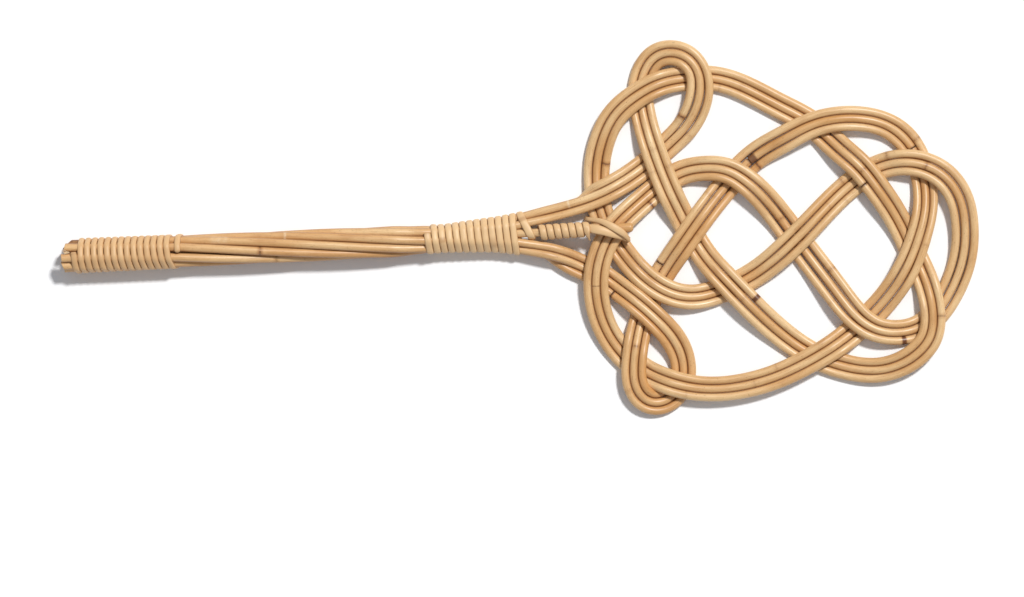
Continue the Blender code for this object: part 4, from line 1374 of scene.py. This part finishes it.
@dataclass
class Winding:
    """Split cane wound round the handle, drawn tight over its canes."""

    finishes: Finishes
    bundle: Bundle
    handle: HandleBundle
    name: str
    start: float
    turns: int
    pitch: float
    width: float
    angles: Pair
    slants: Pair
    bows: Pair
    last_gap: float = 0.0
    spoke: Bundle | None = None
    tail_angles: Pair = (math.radians(90.0), math.radians(170.0))
    tail_step: float = math.radians(4.0)
    tail_fullness: float = 0.16
    tail_length: float = 0.034
    tail_swell_reach: float = 0.008
    wavers: tuple[Pair, Pair] = ((0.018, 210.0), (0.012, 77.0))
    dark_reaches: Pair = (0.003, 0.002)
    thickness: float = 0.0032
    fine_points: int = 72
    step: float = 0.0008
    bend_reach: float = 0.0034
    seed: float = 0.0
    end_run: float = 1.0
    start_rounding: float = 0.0012
    end_rounding: float = 0.0012
    tint: float = 0.4
    stains: tuple[tuple[float, float, float, float], ...] = ()

    def __post_init__(self) -> None:
        """Work out the angle where the last turn ends, and how high the strand's middle lies."""
        self.end_angle = 2 * math.pi * self.turns + self.angles[1]
        surface = SIZES.binding_gap + SIZES.strand_thickness - SIZES.fullness / 2
        self.rise = surface - self.thickness / 2

    def place_along(self, point: np.ndarray, angle: float) -> float:
        """Place along the handle of a point of the strand, from where it lies round the axis.

        Args:
            point: where the strand lies now.
            angle: its angle along the winding.

        Returns:
            The X at which it belongs.
        """
        share = -point[0] / SIZES.handle_length
        out = point[1] - self.handle.axis(share)[1]
        turn = 2 * math.pi
        angle_here = math.atan2(point[2] - self.handle.axis_height(share), out)
        angle_here += turn * round((angle - angle_here) / turn)
        half_turn_left = (self.end_angle - self.angles[1] - angle_here) * 2 / turn
        behind = self.start - self.pitch * (angle_here - self.angles[0]) / turn
        behind -= self.last_gap * float(ease(1 - half_turn_left))
        share_wound = (angle_here - self.angles[0]) / (self.end_angle - self.angles[0])
        slant, bow = (first + (last - first) * share_wound
                      for first, last in (self.slants, self.bows))
        return -behind - slant * out - bow * math.sin(angle_here)

    def turn_point(self, angle: float) -> tuple[np.ndarray, np.ndarray]:
        """Point and outward direction of a turn, by its angle along the winding."""
        x = -self.start + self.pitch * (angle - self.angles[0]) / (2 * math.pi)
        for _ in range(self.bundle.settle_rounds):
            point, normal = self.bundle.seat(x, angle, self.width, self.rise)
            x = self.place_along(point, angle)
        point[0] = x
        return point, normal

    def tail_point(self, top: np.ndarray, angle: float) -> tuple[np.ndarray, np.ndarray]:
        """Point and outward direction of the tail that slants away from the last turn's top.

        Args:
            top: where the tail starts.
            angle: its angle round the canes.

        Returns:
            The point and the direction.
        """
        x = top[0]
        bundle = self.bundle if angle < self.tail_angles[0] else self.spoke
        for _ in range(self.bundle.settle_rounds):
            point, normal = bundle.seat(x, angle, self.width, self.rise)
            x = top[0] + self.bundle.tail_slant * (top[1] - point[1])
        point[0] = x
        return point, normal

    def path(self) -> tuple[np.ndarray, np.ndarray]:
        """Centre line of the strand and the way its domed side faces."""
        angles = np.arange(self.angles[0], self.end_angle, 2 * math.pi / self.fine_points)
        found = [self.turn_point(float(angle)) for angle in angles]
        if self.spoke is not None:
            top = found[-1][0]
            tail = np.arange(2 * self.tail_step, self.tail_angles[1], self.tail_step)
            found += [self.tail_point(top, float(angle)) for angle in tail]
        points = np.array([point for point, _ in found])
        normals = np.array([normal for _, normal in found])
        first = extend(points[1::-1], self.width)
        last = extend(points, self.width * self.end_run)
        return np.vstack([first, points, last]), np.vstack([normals[0], normals, normals[-1]])

    def build(self) -> None:
        """Make the strand: a little uneven in width, darker at its ends and at its stains."""
        path, places, faces = soften_strand(*self.path(), self.step, self.bend_reach)
        left_over = places[-1] - places
        (large, often), (small, seldom) = self.wavers
        waver = 1 + large * np.sin(places * often + self.seed) + small * np.sin(places * seldom)
        half = np.full(len(path), self.width / 2) * waver
        if self.spoke is not None:
            in_tail = ease((self.tail_length - left_over) / self.tail_swell_reach)
            half = half * (1 + self.tail_fullness * in_tail)
        flat = np.full(len(path), self.thickness / 2)
        first, last = self.dark_reaches
        stain = np.maximum(ease(1 - places / first), ease(1 - left_over / last)) * 0.5
        for column, row, depth, reach in self.stains:
            away = np.linalg.norm(path[:, :2] - PICTURE.place(column, row), axis=1) - path[:, 2]
            from_stain = np.abs(places - places[int(np.argmin(away))])
            stain = np.maximum(stain, depth * ease(1.5 - from_stain / reach))
        sweep = Sweep(path, half, flat, faces, section=Section.SPLIT, sides=14,
                      rounding=(self.start_rounding, self.end_rounding),
                      seed=self.seed, tint=self.tint, traces={"stain": stain})
        self.finishes.stand_in(sweep.build(self.name + "_look"), self.name, Wood.STRAND)
        log.info("%s: %d turns", self.name, self.turns)


@dataclass
class Spoke:
    """The bound end of the core cane, between the collar and the tie."""

    finishes: Finishes
    core: np.ndarray
    left_column: float = 539.5
    pitch: float = 0.00597
    width: float = 0.0057
    thickness: float = 0.0028
    turns: float = 6.46
    core_route: ClassVar[tuple[tuple[float, float, float, float], ...]] = (
        (545, 232.2, 1.55, 1.0), (568, 230.6, 1.85, 1.0), (590, 229.4, 2.0, 1.0),
        (612, 228.6, 2.05, 1.12), (633, 227.4, 2.1, 1.12))
    fine_points: int = 48
    flare: tuple[tuple[float, float, float], ...] = (
        (587.0, 232.6, 0.5), (588.2, 236.6, 0.3), (590.0, 240.8, -0.1))
    flare_facing: tuple[float, float, float] = (-0.35, -0.45, 0.8)
    flare_length: float = 0.0105
    end_shares: Pair = (0.22, 0.4)
    step: float = 0.0006
    bend_reach: float = 0.0014

    @staticmethod
    def route() -> np.ndarray:
        """Centre line of the spoke from near the neck to its free end on the tie."""
        half = (SIZES.cane + SIZES.fullness) / 2
        line = []
        for column, row, level, fullness in Spoke.core_route:
            plan = PICTURE.place(column, row)
            height = SIZES.floor_level + SIZES.lift * level + float(strand_rise(plan))
            line.append([*plan, height, half * fullness, half * fullness])
        return np.array(line)

    def build(self) -> None:
        """Wind the strand on the spoke, its last turn flaring down beside the tie."""
        left = PICTURE.column_x(self.left_column)
        radius = SIZES.cane / 2 + SIZES.binding_gap + self.thickness / 2
        points, normals = [], []
        for index in range(int(self.turns * self.fine_points)):
            angle = 2 * math.pi * index / self.fine_points - math.pi / 2
            x = left + self.pitch * index / self.fine_points
            middle = read_table(self.core[:, 0], self.core[:, :3], np.array([x]))[0]
            middle[0] = x
            normal = np.array([0.0, math.cos(angle), math.sin(angle)])
            points.append(middle + normal * radius)
            normals.append(normal)
        height = points[-1][2]
        for column, row, share in self.flare:
            points.append([*PICTURE.place(column, row), height + (share - 0.5) * SIZES.cane])
            normals.append(self.flare_facing)
        path, places, faces = soften_strand(np.array(points), np.array(normals), self.step,
                                            self.bend_reach)
        left_over = places[-1] - places
        half, flat = (size / 2 * (end + (1 - end) * ease(left_over / self.flare_length))
                      for size, end in zip((self.width, self.thickness), self.end_shares))
        sweep = Sweep(path, half, flat, faces, section=Section.FULL, sides=16,
                      rounding=(0.001, 0.0004), seed=2.3, tint=0.45,
                      traces={"stain": 0.45 * ease(1 - left_over / 0.003)})
        self.finishes.stand_in(sweep.build("spoke_binding_look"), "spoke_binding", Wood.STRAND)
        log.info("spoke_binding: %.1f turns", self.turns)


@dataclass
class Lashing:
    """The strand that ties the spoke down on the knot's first crossing.

    Each point of its route holds a column and a row, a height from 0 underneath to 1 on top, and
    a width in millimetres.
    """

    finishes: Finishes
    thickness: float = 0.0042
    thinnest: float = 0.0016
    ends: tuple[Pair, Pair] = ((587.0, 219.0), (632.0, 240.0))
    route: tuple[tuple[float, float, float, float], ...] = (
        (585.5, 227.8, 0.8, 5.0), (589.8, 228.5, 0.9, 7.4), (594, 229.1, 0.98, 8.1),
        (599, 230.1, 1.02, 7.9), (604, 231.5, 1.02, 7.1), (609, 233.2, 1.0, 6.4),
        (615, 235.2, 0.93, 5.4), (620.5, 237.0, 0.82, 4.6), (625, 238.6, 0.62, 4.2),
        (627.8, 239.4, 0.42, 4.4), (628.4, 239.4, 0.22, 5.0), (627.0, 238.8, 0.06, 5.2),
        (622, 236.4, 0.0, 5.2), (615, 232, 0.0, 5.2), (602, 225.2, 0.0, 5.2),
        (591, 220.6, 0.0, 5.2), (586.2, 218.6, 0.06, 5.2), (585.6, 219.0, 0.2, 4.6),
        (587.0, 219.5, 0.42, 4.4), (592, 220.2, 0.64, 4.5), (599, 221.2, 0.86, 4.9),
        (605.6, 223.3, 1.0, 5.6), (611.4, 226.3, 1.06, 6.3), (617.2, 229.6, 1.05, 6.4),
        (622.4, 233.2, 0.98, 5.6), (626.4, 237.2, 0.82, 4.4), (628.4, 241.0, 0.62, 3.0))
    step: float = 0.0007
    fully_thick: float = 1.6

    def build(self) -> None:
        """Make the strand along its listed route."""
        seat = SIZES.cane / 2 + SIZES.binding_gap + SIZES.strand_thickness / 2
        low = SIZES.floor_level + SIZES.tie_lift - seat
        high = SIZES.floor_level + SIZES.tie_lift + SIZES.lift * 2 + seat
        points = np.array([[*PICTURE.place(column, row), low + (high - low) * share, width / 2000]
                           for column, row, share, width in self.route])
        knots = running_length(points)
        places = np.linspace(0, knots[-1], int(knots[-1] / self.step))
        read = NaturalSpline(points, knots).read(places)
        path = read[:, :3]
        start, end = (PICTURE.place(*place) for place in self.ends)
        across = np.array([start[1] - end[1], end[0] - start[0], 0.0]) / np.linalg.norm(end - start)
        middle = np.array([*PICTURE.place(*PICTURE.tie), SIZES.floor_level + SIZES.lift])
        outward = path - middle
        outward -= np.outer(outward @ across, across)
        raised = ease((path[:, 2] - low) / (high - low) * self.fully_thick)
        flat = self.thinnest / 2 + (self.thickness - self.thinnest) / 2 * raised
        sweep = Sweep(path, read[:, 3], flat, outward, section=Section.FULL, sides=16,
                      rounding=(0.0011, 0.0011), seed=9.1, tint=0.2)
        self.finishes.stand_in(sweep.build("tie_lashing_look"), "tie_lashing", Wood.STRAND)
        log.info("tie_lashing: %.0f mm", running_length(path)[-1] * 1000)


@dataclass
class Studio:
    """A plain white floor, a soft key light, and the camera straight above."""

    floor_reach: float = 6.0
    floor_glow: float = 0.92
    camera_height: float = 9.0
    focus_height: float = 0.008
    sensor: float = 36.0
    sun_strength: float = 2.72
    sun_angle: float = math.radians(7.0)
    sun_azimuth: float = math.radians(55.0)
    sun_elevation: float = math.radians(57.0)
    world_strength: float = 0.35
    world_colour: Colour = (0.95, 0.98, 1.04, 1.0)

    def build(self) -> None:
        """Set the floor, the lights and the camera."""
        self.floor()
        self.lights()
        self.camera()
        bpy.context.scene.view_settings.view_transform = "Standard"

    def floor(self) -> None:
        """White floor that the camera sees as a white sheet with the beater's shadow."""
        bm = bmesh.new()
        bmesh.ops.create_grid(bm, x_segments=1, y_segments=1, size=self.floor_reach)
        floor = set_out_mesh("floor", bm)
        tree = NodeTree("floor_white")
        mix = tree.add("ShaderNodeMixShader")
        seen = tree.add("ShaderNodeLightPath").outputs["Is Camera Ray"]
        tree.feed(mix.inputs[0], seen)
        for number, level in ((1, self.floor_glow), (2, 1.0)):
            diffuse = tree.add("ShaderNodeBsdfDiffuse")
            tree.feed(diffuse.inputs["Color"], (level, level, level, 1.0))
            tree.feed(mix.inputs[number], diffuse.outputs[0])
        output = tree.add("ShaderNodeOutputMaterial")
        tree.feed(output.inputs["Surface"], mix.outputs[0])
        floor.data.materials.append(tree.material)

    def lights(self) -> None:
        """One soft key from the upper right, and an even white surround."""
        sun = bpy.data.lights.new("key", "SUN")
        sun.energy = self.sun_strength
        sun.angle = self.sun_angle
        lamp = set_out("key", sun)
        towards = Vector((
            math.cos(self.sun_azimuth) * math.cos(self.sun_elevation),
            math.sin(self.sun_azimuth) * math.cos(self.sun_elevation),
            math.sin(self.sun_elevation)))
        lamp.rotation_euler = towards.to_track_quat("Z", "Y").to_euler()
        world = bpy.data.worlds.new("surround")
        world.use_nodes = True
        background = world.node_tree.nodes["Background"]
        background.inputs["Color"].default_value = self.world_colour
        background.inputs["Strength"].default_value = self.world_strength
        bpy.context.scene.world = world

    def camera(self) -> None:
        """Camera over the middle of the picture, framed as the picture is."""
        width, height = PICTURE.size
        centre = PICTURE.place(width / 2, height / 2)
        data = bpy.data.cameras.new("camera")
        data.sensor_width = self.sensor
        distance = self.camera_height - self.focus_height
        data.lens = self.sensor * distance / (width * PICTURE.across)
        camera = set_out("camera", data)
        camera.location = (*centre, self.camera_height)
        bpy.context.scene.camera = camera


def main() -> None:
    """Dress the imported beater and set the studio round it."""
    logging.basicConfig(level=logging.INFO, format="%(message)s")
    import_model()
    finishes = Finishes()
    handle = HandleBundle()
    canes = Canes(finishes, Band(), handle)
    canes.lay()
    canes.build()
    core = canes.lines["core_cane"]
    Fibres(finishes, canes.lines["filler_b"]).build()
    bundle = Bundle([line for line in canes.lines.values() if line[:, 0].min() < 0])
    Winding(
        finishes, bundle, handle, "grip_binding", start=SIZES.handle_length - 0.0128, turns=15,
        pitch=0.00552, width=0.0052, angles=(math.radians(96.0), math.radians(94.0)),
        slants=(0.005, 0.083), bows=(0.0023, 0.0037), last_gap=0.0035, end_run=0.85,
        end_rounding=0.0022, seed=4.0, tint=0.85).build()
    Winding(
        finishes, bundle, handle, "collar_binding", start=0.0750114, turns=13, pitch=0.00585,
        width=0.00575, thickness=0.0024, angles=(math.radians(75.0), 0.0), slants=(0.05, 0.03),
        bows=(0.0006, 0.0006), spoke=Bundle([core]), seed=8.0, tint=0.0,
        stains=((444, 240, 0.5, 0.002), (493, 243, 0.35, 0.0045), (519, 219, 0.5, 0.002))).build()
    Spoke(finishes, core).build()
    Lashing(finishes).build()
    Studio().build()


if __name__ == "__main__":
    main()
